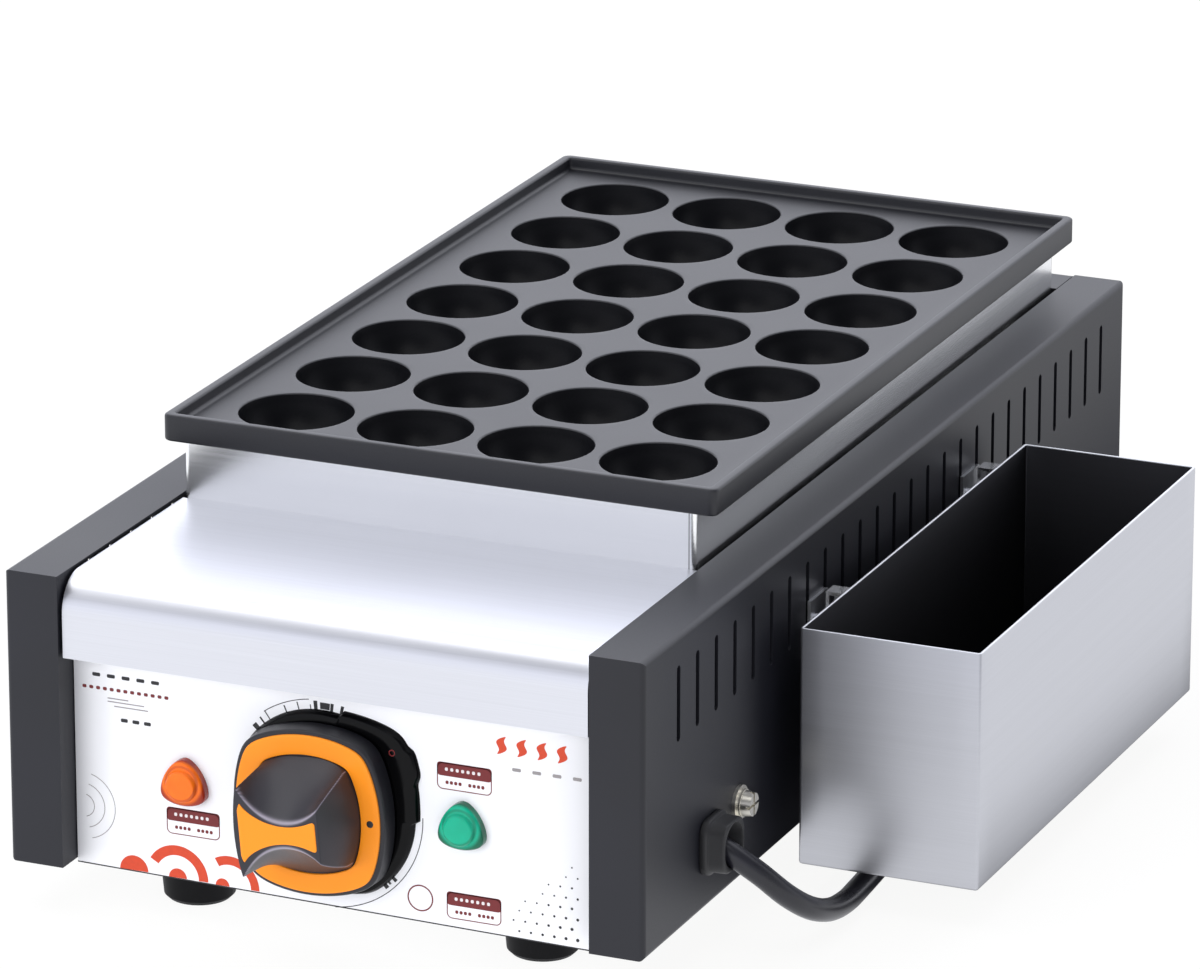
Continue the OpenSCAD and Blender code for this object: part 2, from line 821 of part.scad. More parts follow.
// Two strips across the riser that carry the heaters and take the plate's studs.
module hold_down_bars() {
    x1 = riser_w / 2 - steel_t;
    color(ZINC) in_frame() difference() {
        for (y = [-stud_y, stud_y]) translate([0, y, 0]) {
            block([-x1, -bar_w / 2, z_bar - bar_t], [x1, bar_w / 2, z_bar]);
            for (x = [-x1, x1 - bar_t]) {
                block([x, -bar_w / 2, z_bar - bar_tab_h], [x + bar_t, bar_w / 2, z_bar]);
            }
        }
        each_stud() translate([0, 0, z_bar - bar_t - cut]) cylinder(h = bar_t + 2 * cut, r = stud_hole_r);
    }
}

module hold_down_studs() {
    low = z_bar - bar_t - nut_h - stud_tail;
    high = z_deck_under - boss_l + stud_in - fit;
    color(ZINC) in_frame() each_stud() translate([0, 0, low]) cylinder(h = high - low, r = stud_r);
}

module hold_down_nuts() {
    color(ZINC) in_frame() each_stud() translate([0, 0, z_bar - bar_t - nut_h]) {
        hex_nut(nut_r, nut_h, stud_r + screw_fit);
    }
}

// Hairpin heater under two columns of cups, with its ends through the riser's front.
module hairpin(x) {
    for (side = [-1, 1]) {
        rod([x + side * element_x, element_front, z_heater],
            [x + side * element_x, element_back, z_heater], heater_d / 2);
    }
    translate([x, element_back, z_heater]) rotate_extrude(angle = 180, $fn = 64) {
        translate([element_x, 0]) circle(heater_d / 2);
    }
}

module heating_element_left() {
    color([0.45, 0.43, 0.42]) in_frame() hairpin(element_columns[0]);
}

module heating_element_right() {
    color([0.45, 0.43, 0.42]) in_frame() hairpin(element_columns[len(element_columns) - 1]);
}

// Ceramic bead and pin on each end of the heaters.
module element_terminals() {
    color([0.92, 0.90, 0.86]) in_frame() for (c = element_columns, side = [-1, 1]) {
        translate([c + side * element_x, element_front, z_heater]) rotate([90, 0, 0]) {
            cylinder(h = element_end_l, r1 = element_end_r, r2 = element_end_r * 0.8);
            cylinder(h = element_end_l + element_pin_l, r = element_pin_r);
        }
    }
}

// ---- Thermostat, knob and lamps ----

module thermostat_body() {
    ear_x = thermostat_w / 2 + thermostat_ear;
    color([0.86, 0.86, 0.84]) in_frame() difference() {
        union() {
            on_dial(y_panel + case_t + thermostat_plate_t) linear_extrude(thermostat_plate_t) {
                round_rect([-ear_x, -thermostat_h / 2], [ear_x, thermostat_h / 2], thermostat_corner_r);
            }
            on_dial(y_panel + case_t + thermostat_l) linear_extrude(thermostat_l - thermostat_plate_t) {
                round_rect([-thermostat_w / 2, -thermostat_h / 2], [thermostat_w / 2, thermostat_h / 2],
                    thermostat_corner_r);
            }
            on_dial(y_panel + case_t + thermostat_plate_t) {
                cylinder(h = thermostat_plate_t + case_t, r = shaft_hole_r - fit);
            }
        }
        on_dial(y_panel + shaft_in) cylinder(h = shaft_in + cut, r = shaft_r + screw_fit);
        for (x = [-thermostat_screw_x, thermostat_screw_x]) {
            on_dial(y_panel + case_t + thermostat_screw_l) translate([x, 0, 0]) {
                cylinder(h = thermostat_screw_l + cut, r = thermostat_screw_r + screw_fit);
            }
        }
    }
}

// Shaft with a flat that drives the knob.
module thermostat_shaft() {
    length = shaft_in - fit + bezel_t + shaft_reach;
    color(ZINC) in_frame() on_knob(y_panel + shaft_in - fit) difference() {
        cylinder(h = length, r = shaft_r);
        block([-shaft_r - cut, shaft_flat, length - shaft_reach],
            [shaft_r + cut, shaft_r + cut, length + cut]);
    }
}

module thermostat_screws() {
    color(ZINC) in_frame() for (x = [-thermostat_screw_x, thermostat_screw_x]) {
        on_dial(y_panel) translate([x, 0, 0]) {
            pan_screw(pan_head_r, pan_head_h, thermostat_screw_r, thermostat_screw_l);
        }
    }
}

// Sensing bulb on the front bar below the plate. Its capillary runs straight through
// the riser's front wall and then down to the back of the thermostat.
module thermostat_bulb() {
    back = y_panel + case_t + thermostat_l;
    x1 = knob_x + 8;
    wall = -riser_l / 2;
    color([0.78, 0.50, 0.34]) in_frame() {
        rod([0, bulb_y, z_bulb], [0, bulb_y + bulb_l, z_bulb], bulb_d / 2);
        wire([[0, bulb_y + 1, z_bulb], [0, wall + 8, z_bulb], [0, wall - 8, z_bulb], [0, wall - 16, z_bulb],
            [x1, wall - 28, z_knob + 24], [x1, back + 12, z_knob + 4], [x1, back + fit, z_knob + 4]],
            capillary_r, [1, 0, 0]);
    }
}

// Dial plate behind the knob, with a lug at its upper right.
module dial_bezel() {
    half = bezel_w / 2;
    color([0.05, 0.05, 0.06]) in_frame() on_dial(y_panel) difference() {
        linear_extrude(bezel_t) translate(bezel_shift) {
            squircle(bezel_w, bezel_w, squircle_bulge, half + bezel_corner);
            translate([half - lug_in, half / 2]) circle(lug_r);
        }
        translate([0, 0, -cut]) cylinder(h = bezel_t + 2 * cut, r = shaft_hole_r);
        for (x = [-thermostat_screw_x, thermostat_screw_x]) {
            translate([x, 0, -cut]) cylinder(h = bezel_t + 2 * cut, r = pan_head_r + fit);
        }
    }
}

// Skirt of the knob with its grip: a block that tapers to the grip's top, hollowed at
// the top and the bottom by two slanting finger scoops, and bored for the shaft.
module knob_body() {
    skirt_l = knob_skirt_t - ring_t + ring_proud;
    top = knob_skirt_t + grip_h;
    bore_l = shaft_reach - knob_gap + fit;
    color(BLACK) in_frame() on_knob(skirt_back) difference() {
        union() {
            linear_extrude(skirt_l) squircle(knob_w, knob_h, squircle_bulge, knob_w * corner_share);
            hull() {
                translate([0, 0, skirt_l - 1]) linear_extrude(1) knob_inner(fit, 32);
                translate([0, 0, top - grip_cap_t]) linear_extrude(grip_cap_t) grip_end(0);
            }
        }
        for (side = [0, 1]) mirror([0, side, 0]) {
            translate([scoop_x, grip_waist / 2 + scoop_r / cos(scoop_tilt), top]) {
                rotate([scoop_tilt, 0, 0]) translate([0, 0, -grip_h - scoop_r / 3]) {
                    cylinder(h = 2 * grip_h, r = scoop_r, $fn = 96);
                }
            }
        }
        translate([0, 0, -cut]) difference() {
            cylinder(h = bore_l + cut, r = shaft_r + screw_fit);
            block([-shaft_r - cut, shaft_flat + screw_fit, -cut],
                [shaft_r + cut, shaft_r + cut, bore_l + 2 * cut]);
        }
        translate([0, 0, top - insert_t]) linear_extrude(insert_t + cut) insert_face(insert_fit);
    }
}

// The grip's end face before the scoops: higher at the left than at the right.
module grip_end(inset) {
    x = grip_w / 2 - inset;
    low = grip_end_l / 2 - inset;
    high = grip_end_r / 2 - inset;
    translate([grip_x, 0]) polygon([[-x, -low], [x, -high], [x, high], [-x, low]]);
}

// Outline inside the coloured ring.
module knob_inner(inset, n = 160) {
    w = knob_w - 2 * knob_ring_w - 2 * inset;
    h = knob_h - 2 * knob_ring_w - 2 * inset;
    squircle(w, h, squircle_bulge * 0.7, w * foot_share, n);
}

// Coloured ring around the foot of the grip.
module knob_ring() {
    color(ORANGE) in_frame() on_knob(skirt_back - knob_skirt_t + ring_t - ring_proud) {
        linear_extrude(ring_t) difference() {
            squircle(knob_w - 2 * ring_margin, knob_h - 2 * ring_margin, squircle_bulge,
                knob_w * corner_share - ring_margin);
            knob_inner(0);
        }
    }
}

// Outline of the coloured insert in the grip's end, between arcs beside the scoops.
module insert_face(clear) {
    difference() {
        grip_end(insert_margin - clear);
        for (side = [-1, 1]) translate([scoop_x, side * (insert_waist / 2 + insert_r)]) {
            circle(insert_r - clear, $fn = 96);
        }
    }
}

module knob_insert() {
    color(ORANGE) in_frame() on_knob(skirt_back) {
        translate([0, 0, knob_skirt_t + grip_h - insert_t]) linear_extrude(insert_t) insert_face(0);
    }
}

// Lamp lens: a rounded triangle with a round boss, whose barrel passes the panel.
module lamp_lens(x) {
    corner = (lens_w / 2 - lens_corner_r) / cos(30);
    translate([x, y_panel, z_knob]) rotate([90, 0, 0]) {
        hull() for (a = [90, 210, 330]) {
            rotate(a) translate([corner, 0, 0]) {
                cylinder(h = lens_t, r1 = lens_corner_r, r2 = lens_corner_r - lens_draft, $fn = 32);
            }
        }
        translate([0, 0, lens_t]) {
            cylinder(h = lens_boss_h, d1 = lens_boss_d, d2 = lens_boss_d - lens_boss_draft);
        }
    }
}

module lamp_lens_orange() {
    color([0.98, 0.42, 0.08]) in_frame() lamp_lens(lamp_x[0]);
}

module lamp_lens_green() {
    color([0.05, 0.62, 0.40]) in_frame() lamp_lens(lamp_x[1]);
}

// Barrel behind each lens, with two blades at its back.
module lamp_holders() {
    color([0.90, 0.90, 0.88]) in_frame() for (x = lamp_x) {
        translate([x, y_panel, z_knob]) rotate([-90, 0, 0]) {
            cylinder(h = lamp_l, d = lamp_barrel_d);
            for (side = [-1, 1]) {
                translate([side * lamp_blade_x - lamp_blade[0] / 2, -lamp_blade[1] / 2, lamp_l]) {
                    cube(lamp_blade);
                }
            }
        }
    }
}

module lamp_nuts() {
    color(BLACK) in_frame() for (x = lamp_x) {
        translate([x, y_panel + case_t, z_knob]) rotate([-90, 0, 0]) {
            hex_nut(lamp_nut_r, lamp_nut_t, lamp_barrel_d / 2 + screw_fit);
        }
    }
}

// ---- Wiring ----

module terminal_block() {
    low = [block_x, block_y - block_size[1] / 2, z_floor_plate + case_t];
    color([0.94, 0.93, 0.88]) in_frame() difference() {
        block(low, low + block_size);
        for (i = [0 : 2]) {
            translate([low[0] + block_size[0] / 2, wire_y(i), low[2] + block_size[2] - block_hole[1]]) {
                cylinder(h = block_hole[1] + cut, r = block_hole[0]);
            }
        }
    }
}

function wire_y(i) = block_y + (i - 1) * block_pitch;

// Cores from the gland to the terminal block, and leads on to the thermostat, the
// lamps, the heaters and the earth bolt.
module inner_wiring() {
    r = wire_r;
    zb = z_floor_plate + case_t + block_size[2] / 2;
    x_in = block_x + block_size[0] + fit;
    x_out = block_x - fit;
    gland_x = body_w / 2 - gland_in - fit;
    yt = y_panel + case_t + thermostat_l + fit;
    y_pin = element_front - element_end_l - element_pin_l - fit;
    far = element_columns[len(element_columns) - 1] + element_x;
    color([0.72, 0.16, 0.12]) in_frame() {
        for (i = [0 : 2]) {
            wire([[gland_x, gland_y + (i - 1) * 3, z_gland], [gland_x - 7, gland_y + (i - 1) * 4, z_gland],
                [x_in + 6, wire_y(i), zb], [x_in, wire_y(i), zb]], r);
        }
        wire([[x_out, wire_y(0), zb], [x_out - 12, wire_y(0), zb], [knob_x + 14, yt + 10, z_knob - 6],
            [knob_x + 14, yt, z_knob - 6]], r);
        wire([[x_out, wire_y(1), zb], [x_out - 5, wire_y(1), zb], [x_out - 9, wire_y(1), zb + 20],
            [far, y_pin - 4, z_heater - 22], [far, y_pin - 3, z_heater], [far, y_pin, z_heater]],
            r, [1, 1, 0]);
        wire([[x_in, wire_y(2) + 4, zb], [x_in + 8, wire_y(2) + 4, zb],
            [wall_x - 14, earth_y - 6, z_earth - 6], [wall_x - 9.5, earth_y, z_earth]], r);
        wire([[knob_x - 14, yt, z_knob - 6], [knob_x - 14, yt + 8, z_knob - 6],
            [-far, y_pin - 4, z_heater - 22], [-far, y_pin - 3, z_heater], [-far, y_pin, z_heater]],
            r, [1, 0, 0]);
        for (side = [-1, 1]) {
            xl = side < 0 ? lamp_x[0] + lamp_blade_x : lamp_x[1] - lamp_blade_x;
            yl = y_panel + lamp_l + lamp_blade[2] + fit;
            wire([[xl, yl, z_knob], [xl, yl + 6, z_knob], [knob_x + side * 14, yt + 9, z_knob + 8],
                [knob_x + side * 14, yt, z_knob + 8]], r);
        }
    }
}

module earth_bolt() {
    stack = earth_washer[1] + earth_teeth[1];
    color(BRASS) in_frame() translate([body_w / 2 + stack, earth_y, z_earth]) rotate([0, 90, 0]) {
        translate([0, 0, -stack - case_t - earth_in]) {
            cylinder(h = stack + case_t + earth_in + cut, r = earth_r);
        }
        difference() {
            cylinder(h = earth_head[1], r1 = earth_head[0], r2 = earth_head[0] - 0.5);
            for (a = [0, 90]) rotate(a) {
                block([-2 * earth_r, -earth_slot_w / 2, earth_head[1] * 0.6],
                    [2 * earth_r, earth_slot_w / 2, earth_head[1] + cut]);
            }
        }
    }
}

// Flat washer and toothed washer under the earth bolt's head, and the nut inside.
module earth_washers() {
    stack = earth_washer[1] + earth_teeth[1];
    color([0.82, 0.80, 0.70]) in_frame() translate([body_w / 2, earth_y, z_earth]) rotate([0, 90, 0]) {
        difference() {
            union() {
                cylinder(h = earth_washer[1], r = earth_washer[0]);
                translate([0, 0, earth_washer[1]]) cylinder(h = earth_teeth[1], r = earth_teeth[0]);
            }
            translate([0, 0, -cut]) cylinder(h = stack + 2 * cut, r = earth_r + screw_fit);
        }
        translate([0, 0, -case_t - earth_nut[1]]) hex_nut(earth_nut[0], earth_nut[1], earth_r + screw_fit);
    }
}

// ---- Lead ----

// Square bush with round corners outside the wall, a round shank through it, and a
// flared mouth from which the cord comes out.
module cord_gland() {
    half = gland_w / 2;
    body = half - gland_step;
    color([0.07, 0.07, 0.08]) in_frame() translate([body_w / 2, gland_y, z_gland]) rotate([0, 90, 0]) {
        difference() {
            union() {
                linear_extrude(gland_flange_t) round_rect([-half, -half], [half, half], gland_corner);
                linear_extrude(gland_out) {
                    round_rect([-body, -body], [body, body], gland_corner - gland_step);
                }
                translate([0, 0, -gland_in]) {
                    cylinder(h = gland_in + cut, r1 = gland_shank_r - gland_draft, r2 = gland_shank_r);
                }
            }
            translate([0, 0, gland_floor]) {
                cylinder(h = gland_out - gland_floor + 0.01, r1 = cord_r + 2 * fit, r2 = gland_mouth_r);
            }
        }
        // collar inside the wall that stops the bush from pulling out
        translate([0, 0, -case_t - gland_collar[1]]) {
            cylinder(h = gland_collar[1] - 0.05, r1 = gland_shank_r + gland_collar[0],
                r2 = gland_shank_r + 2 * gland_collar[0]);
        }
    }
}

module cord_lead() {
    rings = [for (i = [0 : len(lead_points) - 2])
        let (n = steps(lead_points, i, lead_step))
        for (k = [0 : (i == len(lead_points) - 2 ? n : n - 1)])
            ring(on_curve(lead_points, i, k / n), curve_way(lead_points, i, k / n), cord_r, lead_sides)];
    color([0.06, 0.06, 0.07]) in_frame() skin(rings);
}

// Radius and height of the coil's middle line after t turns.
function coil_r(t) = coil_in_r + coil_pitch * (sqrt(pow(t - coil_turns / 2, 2) + 0.0016));
function ease(u) = let (c = min(max(u, 0), 1)) c * c * (3 - 2 * c);
function coil_h(t) = coil_z + coil_lift * ease((t - coil_turns / 2) * 2 + 0.5);
function coil_way(t) = [cos(-90 - 360 * t), sin(-90 - 360 * t), 0];
function coil_point(t) = [coil_x, coil_y, coil_h(t)] + coil_r(t) * coil_way(t);
function coil_ring(p, out) = [for (k = [0 : coil_sides - 1])
    p + cord_r * (cos(360 * k / coil_sides) * out + sin(360 * k / coil_sides) * [0, 0, 1])];

coil_steps = round(coil_turns * coil_rings);
coil_line = concat([coil_point(0) + [coil_end, 0, 0]],
    [for (i = [0 : coil_steps]) coil_point(i / coil_rings)],
    [coil_point(coil_turns) + [coil_end, 0, 0]]);

// Least gap between turns: distance of middle-line points half a loop or more apart.
coil_gap = min([for (i = [1 : coil_steps + 1], j = [1 : coil_steps + 1])
    if (j - i >= coil_rings / 2) norm(coil_line[i] - coil_line[j])]) - cord_d;
echo(least_gap_between_turns = coil_gap);

module cord_coil() {
    rings = concat([coil_ring(coil_line[0], coil_way(0))],
        [for (i = [0 : coil_steps]) coil_ring(coil_line[i + 1], coil_way(i / coil_rings))],
        [coil_ring(coil_line[coil_steps + 2], coil_way(coil_turns))]);
    color([0.06, 0.06, 0.07]) in_frame() skin(rings);
}

// Band around the bundle of turns, at the coil's left.
module cord_tie() {
    near = coil_in_r - cord_r - tie_gap;
    far = coil_r(0.25) + cord_r + tie_gap;
    low = coil_z - cord_r - tie_gap;
    high = coil_h(coil_turns) + cord_r + tie_gap;
    color([0.12, 0.12, 0.13]) in_frame() along_y(coil_y - tie_w / 2, coil_y + tie_w / 2) {
        difference() {
            round_rect([coil_x - far - tie_t, low - tie_t], [coil_x - near + tie_t, high + tie_t],
                tie_corner_r + tie_t);
            round_rect([coil_x - far, low], [coil_x - near, high], tie_corner_r);
        }
    }
}

function plug_start() = coil_line[coil_steps + 2];

// Moulded plug: a tapered tail with ribs, and a grip that is pinched at its sides.
module plug_body() {
    tail = plug_tail_l - 1;
    color([0.06, 0.06, 0.07]) in_frame() translate(plug_start()) rotate([0, 90, 0]) {
        cylinder(h = plug_tail_l, r1 = cord_r + 0.6, r2 = plug_tail_r);
        for (i = [1 : 4]) translate([0, 0, i * plug_rib_pitch]) {
            cylinder(h = plug_rib_t, r = cord_r + 1.2 + i * plug_rib_step);
        }
        translate([0, 0, tail]) difference() {
            linear_extrude(plug_l) {
                round_rect([-plug_h / 2, -plug_w / 2], [plug_h / 2, plug_w / 2], plug_corner_r);
            }
            for (side = [-1, 1]) {
                translate([0, side * (plug_w / 2 + plug_waist_r - plug_waist_in), plug_l / 2]) {
                    rotate([0, 90, 0]) {
                        cylinder(h = plug_h + 2 * cut, r = plug_waist_r, center = true, $fn = 64);
                    }
                }
            }
        }
    }
}

// Flat pin along +x, its middle line through the origin.
module plug_pin() {
    block([0, -pin_size[2] / 2, -pin_size[1] / 2], [pin_size[0], pin_size[2] / 2, pin_size[1] / 2]);
}

module plug_pins() {
    face = plug_start() + [plug_tail_l - 1 + plug_l, 0, 0];
    color([0.80, 0.72, 0.50]) in_frame() translate(face) {
        for (side = [-1, 1]) {
            translate([0, side * pin_spread, pin_rise]) rotate([side * pin_tilt, 0, 0]) plug_pin();
        }
        translate([0, 0, -pin_drop]) plug_pin();
    }
}

// ---- Feet and screws ----

module each_foot() {
    for (x = [-foot_x, foot_x], y = foot_y) translate([x, y, 0]) children();
}

// Tapered rubber foot with a recess for its screw.
module feet() {
    h = z_floor_plate;
    base_r = foot_r - foot_taper;
    color([0.08, 0.08, 0.08]) in_frame() each_foot() rotate_extrude() {
        polygon([[foot_recess_r, 0], [base_r - foot_edge, 0], [base_r, foot_edge],
            [foot_r, h], [foot_screw_r + fit, h], [foot_screw_r + fit, foot_recess_h],
            [foot_recess_r, foot_recess_h]]);
    }
}

module foot_screws() {
    color(ZINC) in_frame() each_foot() translate([0, 0, foot_recess_h]) mirror([0, 0, 1]) {
        pan_screw(foot_head_r, foot_head_h, foot_screw_r,
            z_floor_plate + case_t - foot_recess_h + foot_screw_in);
    }
}

module case_screws() {
    color(ZINC) in_frame() for (side = [-1, 1], z = case_screw_z) {
        translate([side * case_screw_x, y_back, z]) rotate([-90, 0, 0]) {
            pan_screw(screw_head_r, screw_head_h, case_screw_r, case_screw_l);
        }
    }
}

// ---- Side box ----

// Open box of thin sheet with its rim folded to a narrow safe edge.
module box_shell() {
    x1 = x_box + box_w;
    y0 = box_y - box_l / 2;
    y1 = box_y + box_l / 2;
    z1 = box_z + box_h;
    color(STEEL) in_frame() difference() {
        block([x_box, y0, box_z], [x1, y1, z1]);
        block([x_box + steel_t, y0 + steel_t, box_z + steel_t], [x1 - steel_t, y1 - steel_t, z1 + cut]);
    }
}

// Downturned hooks on the box's inner wall.
module box_hooks() {
    x0 = body_w / 2 + hanger_t + hook_play;
    color(STEEL) in_frame() for (y = hook_y) {
        along_y(y + hook_offset, y + hook_offset + hook_w) {
            translate([x0, z_hook - hanger_t]) square([x_box - x0, hanger_t]);
            translate([x0, z_hook - hook_drop]) square([hanger_t, hook_drop]);
            translate([x_box - hanger_t, z_hook - hook_tab_h]) square([hanger_t, hook_tab_h]);
        }
    }
}

// Brackets on the right-hand wall, each with a screw beside its upturned lip.
module hanger_brackets() {
    x0 = body_w / 2;
    x_lip = x0 + 2 * hanger_t + 2 * hook_play;
    z1 = z_hook - hanger_t;
    color(ZINC) in_frame() for (y = hook_y) {
        difference() {
            block([x0, y - hanger_w / 2, z1 - hanger_leg_h], [x0 + hanger_t, y + hanger_w / 2, z1]);
            translate([x0 - cut, y - hanger_screw_side, z_hanger_screw]) rotate([0, 90, 0]) {
                cylinder(h = hanger_t + 2 * cut, r = hanger_screw_r + screw_fit);
            }
        }
        along_y(y + hook_offset, y + hook_offset + hook_w) {
            translate([x0, z1 - hanger_depth - hanger_t]) square([x_lip + hanger_t - x0, hanger_t]);
            translate([x_lip, z1 - hanger_depth - hanger_t]) square([hanger_t, hanger_depth + hanger_t]);
        }
    }
}

module hanger_screws() {
    color(ZINC) in_frame() for (y = hook_y) {
        translate([body_w / 2 + hanger_t, y - hanger_screw_side, z_hanger_screw]) rotate([0, 90, 0]) {
            pan_screw(hanger_head_r, hanger_head_h, hanger_screw_r, hanger_t + case_t + hanger_screw_in);
        }
    }
}

side_panel_left();
side_panel_right();
rear_panel();
base_plate();
top_cover();
control_panel();
riser();
cooking_plate();
cross_rails();
heat_tray();
insulation_pad();
hold_down_bars();
hold_down_studs();
hold_down_nuts();
heating_element_left();
heating_element_right();
element_terminals();
thermostat_body();
thermostat_shaft();
thermostat_screws();
thermostat_bulb();
dial_bezel();
knob_body();
knob_ring();
knob_insert();
lamp_lens_orange();
lamp_lens_green();
lamp_holders();
lamp_nuts();
terminal_block();
inner_wiring();
earth_bolt();
earth_washers();
cord_gland();
cord_lead();
cord_coil();
cord_tie();
plug_body();
plug_pins();
feet();
foot_screws();
case_screws();
box_shell();
box_hooks();
hanger_brackets();
hanger_screws();
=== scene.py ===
"""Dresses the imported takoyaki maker: its lead, cast plate, dial, knob, lamps, printed
panel and side box as new surfaces, and a finish for every node that keeps its shape.

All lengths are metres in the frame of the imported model: x to the machine's right, y to
its back, z up from the counter. A surface is a grid of points worked out with numpy.
"""

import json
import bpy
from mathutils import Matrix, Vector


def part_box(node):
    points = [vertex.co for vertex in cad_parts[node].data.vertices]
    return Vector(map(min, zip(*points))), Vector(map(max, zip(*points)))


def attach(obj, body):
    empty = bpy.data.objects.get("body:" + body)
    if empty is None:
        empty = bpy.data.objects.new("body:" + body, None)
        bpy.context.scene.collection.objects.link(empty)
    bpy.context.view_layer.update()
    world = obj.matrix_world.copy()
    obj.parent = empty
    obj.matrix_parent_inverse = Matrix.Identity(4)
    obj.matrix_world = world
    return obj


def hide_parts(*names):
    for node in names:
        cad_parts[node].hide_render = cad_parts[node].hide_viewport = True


bl_info = {
    "name": "Takoyaki Maker",
    "version": (1, 0, 0),
    "blender": (4, 5, 0),
    "location": "3D View > Sidebar > Takoyaki",
    "description": "Dresses the packed model of a countertop takoyaki maker",
    "category": "Object",
}

import bmesh
import bpy
import numpy as np
from bpy.props import FloatProperty, FloatVectorProperty, PointerProperty
from mathutils import Matrix, Vector

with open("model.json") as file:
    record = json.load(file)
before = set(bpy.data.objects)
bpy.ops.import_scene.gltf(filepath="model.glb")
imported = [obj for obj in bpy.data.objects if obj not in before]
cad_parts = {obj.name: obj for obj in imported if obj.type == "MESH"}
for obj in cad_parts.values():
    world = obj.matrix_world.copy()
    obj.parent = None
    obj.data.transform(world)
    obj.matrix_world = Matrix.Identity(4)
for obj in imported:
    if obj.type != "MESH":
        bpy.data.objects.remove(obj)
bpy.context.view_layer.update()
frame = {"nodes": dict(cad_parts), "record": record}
NODES = frame["nodes"]
SLOTS = {part["node"]: part["material_slot"] for part in frame["record"]["subparts"]}
MM = 0.001


def centre(node):
    """Middle of a node's box, as an array."""
    low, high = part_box(node)
    return (np.array(low) + np.array(high)) / 2


# Places that the pieces share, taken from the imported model.
PLATE_LOW, PLATE_HIGH = (np.array(c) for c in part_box("cooking_plate"))
MIDDLE = np.array([centre("cooking_plate")[0], centre("cooking_plate")[1], 0.0])
PANEL_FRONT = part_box("control_panel")[0][1]
KNOB_X, _, KNOB_Z = frame["record"]["behaviour"]["joints"][0]["pos_m"]
SHEET_T = 0.3 * MM      # the white printed sheet stands this far in front of the panel
SHEET_FRONT = PANEL_FRONT - SHEET_T
BEZEL_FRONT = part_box("dial_bezel")[0][1]
SKIRT_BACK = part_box("knob_body")[1][1]
# The knob stands this far to the right of and above the axis it turns on.
KNOB_SHIFT = (-0.6 * MM, 0.5 * MM)


# ---- Settings ----


class PlateSettings(bpy.types.PropertyGroup):
    cup_pitch_x: FloatProperty(
        name="Cup pitch across", description="Distance between cups across the plate",
        default=46 * MM, unit="LENGTH")
    cup_pitch_y: FloatProperty(
        name="Cup pitch along", description="Distance between cups along the plate",
        default=47 * MM, unit="LENGTH")
    cup_radius: FloatProperty(
        name="Cup radius", description="Radius of a cup at its mouth",
        default=20.5 * MM, unit="LENGTH")
    cup_depth: FloatProperty(
        name="Cup depth", description="Depth of a cup below the deck",
        default=18 * MM, unit="LENGTH")
    mouth_round: FloatProperty(
        name="Mouth rounding", description="Radius of the rounded edge of a cup's mouth",
        default=0.7 * MM, unit="LENGTH")
    rim_height: FloatProperty(
        name="Rim height", description="Height of the plate's rim above its deck",
        default=4.6 * MM, unit="LENGTH")
    rim_thickness: FloatProperty(
        name="Rim thickness", description="Thickness of the plate's rim",
        default=3.6 * MM, unit="LENGTH")
    coating: FloatVectorProperty(
        name="Coating", description="Colour of the non-stick coating",
        default=(0.010, 0.0105, 0.014), subtype="COLOR")


class CaseSettings(bpy.types.PropertyGroup):
    powder: FloatVectorProperty(
        name="Powder coat", description="Colour of the black case",
        default=(0.006, 0.0065, 0.011), subtype="COLOR")
    steel: FloatVectorProperty(
        name="Steel", description="Colour of the brushed steel",
        default=(0.86, 0.87, 0.92), subtype="COLOR")
    print_red: FloatVectorProperty(
        name="Dark red ink", description="Colour of the printed labels",
        default=(0.16, 0.010, 0.012), subtype="COLOR")
    print_orange: FloatVectorProperty(
        name="Orange ink", description="Colour of the printed shapes",
        default=(0.64, 0.052, 0.010), subtype="COLOR")


class KnobSettings(bpy.types.PropertyGroup):
    width: FloatProperty(
        name="Width", description="Width of the knob's skirt",
        default=57.0 * MM, unit="LENGTH")
    height: FloatProperty(
        name="Height", description="Height of the knob's skirt",
        default=60.0 * MM, unit="LENGTH")
    ring_width: FloatProperty(
        name="Ring width", description="Width of the coloured ring",
        default=8.7 * MM, unit="LENGTH")
    skirt_depth: FloatProperty(
        name="Skirt depth", description="Depth of the knob's skirt",
        default=9 * MM, unit="LENGTH")
    grip_height: FloatProperty(
        name="Grip height", description="Height of the grip above the ring",
        default=22 * MM, unit="LENGTH")
    grip_left: FloatProperty(
        name="Grip to the left", description="Reach of the grip's top to the left",
        default=17.2 * MM, unit="LENGTH")
    grip_right: FloatProperty(
        name="Grip to the right", description="Reach of the grip's top to the right",
        default=14.3 * MM, unit="LENGTH")
    grip_waist: FloatProperty(
        name="Grip waist", description="Waist of the grip's top",
        default=8.8 * MM, unit="LENGTH")
    turned: FloatProperty(
        name="Turned", description="Turn of the knob from level, in degrees", default=5)
    orange: FloatVectorProperty(
        name="Ring colour", description="Colour of the ring and the insert",
        default=(0.96, 0.29, 0.012), subtype="COLOR")


class LeadSettings(bpy.types.PropertyGroup):
    diameter: FloatProperty(
        name="Cord diameter", description="Diameter of the mains cord",
        default=8.2 * MM, unit="LENGTH")
    turns: FloatProperty(
        name="Turns", description="Turns of the stored coil", default=4.5)
    coil_radius: FloatProperty(
        name="Coil radius", description="Radius of the coil's innermost turn",
        default=32 * MM, unit="LENGTH")
    coil_pitch: FloatProperty(
        name="Coil pitch", description="Distance from one turn to the next",
        default=9 * MM, unit="LENGTH")


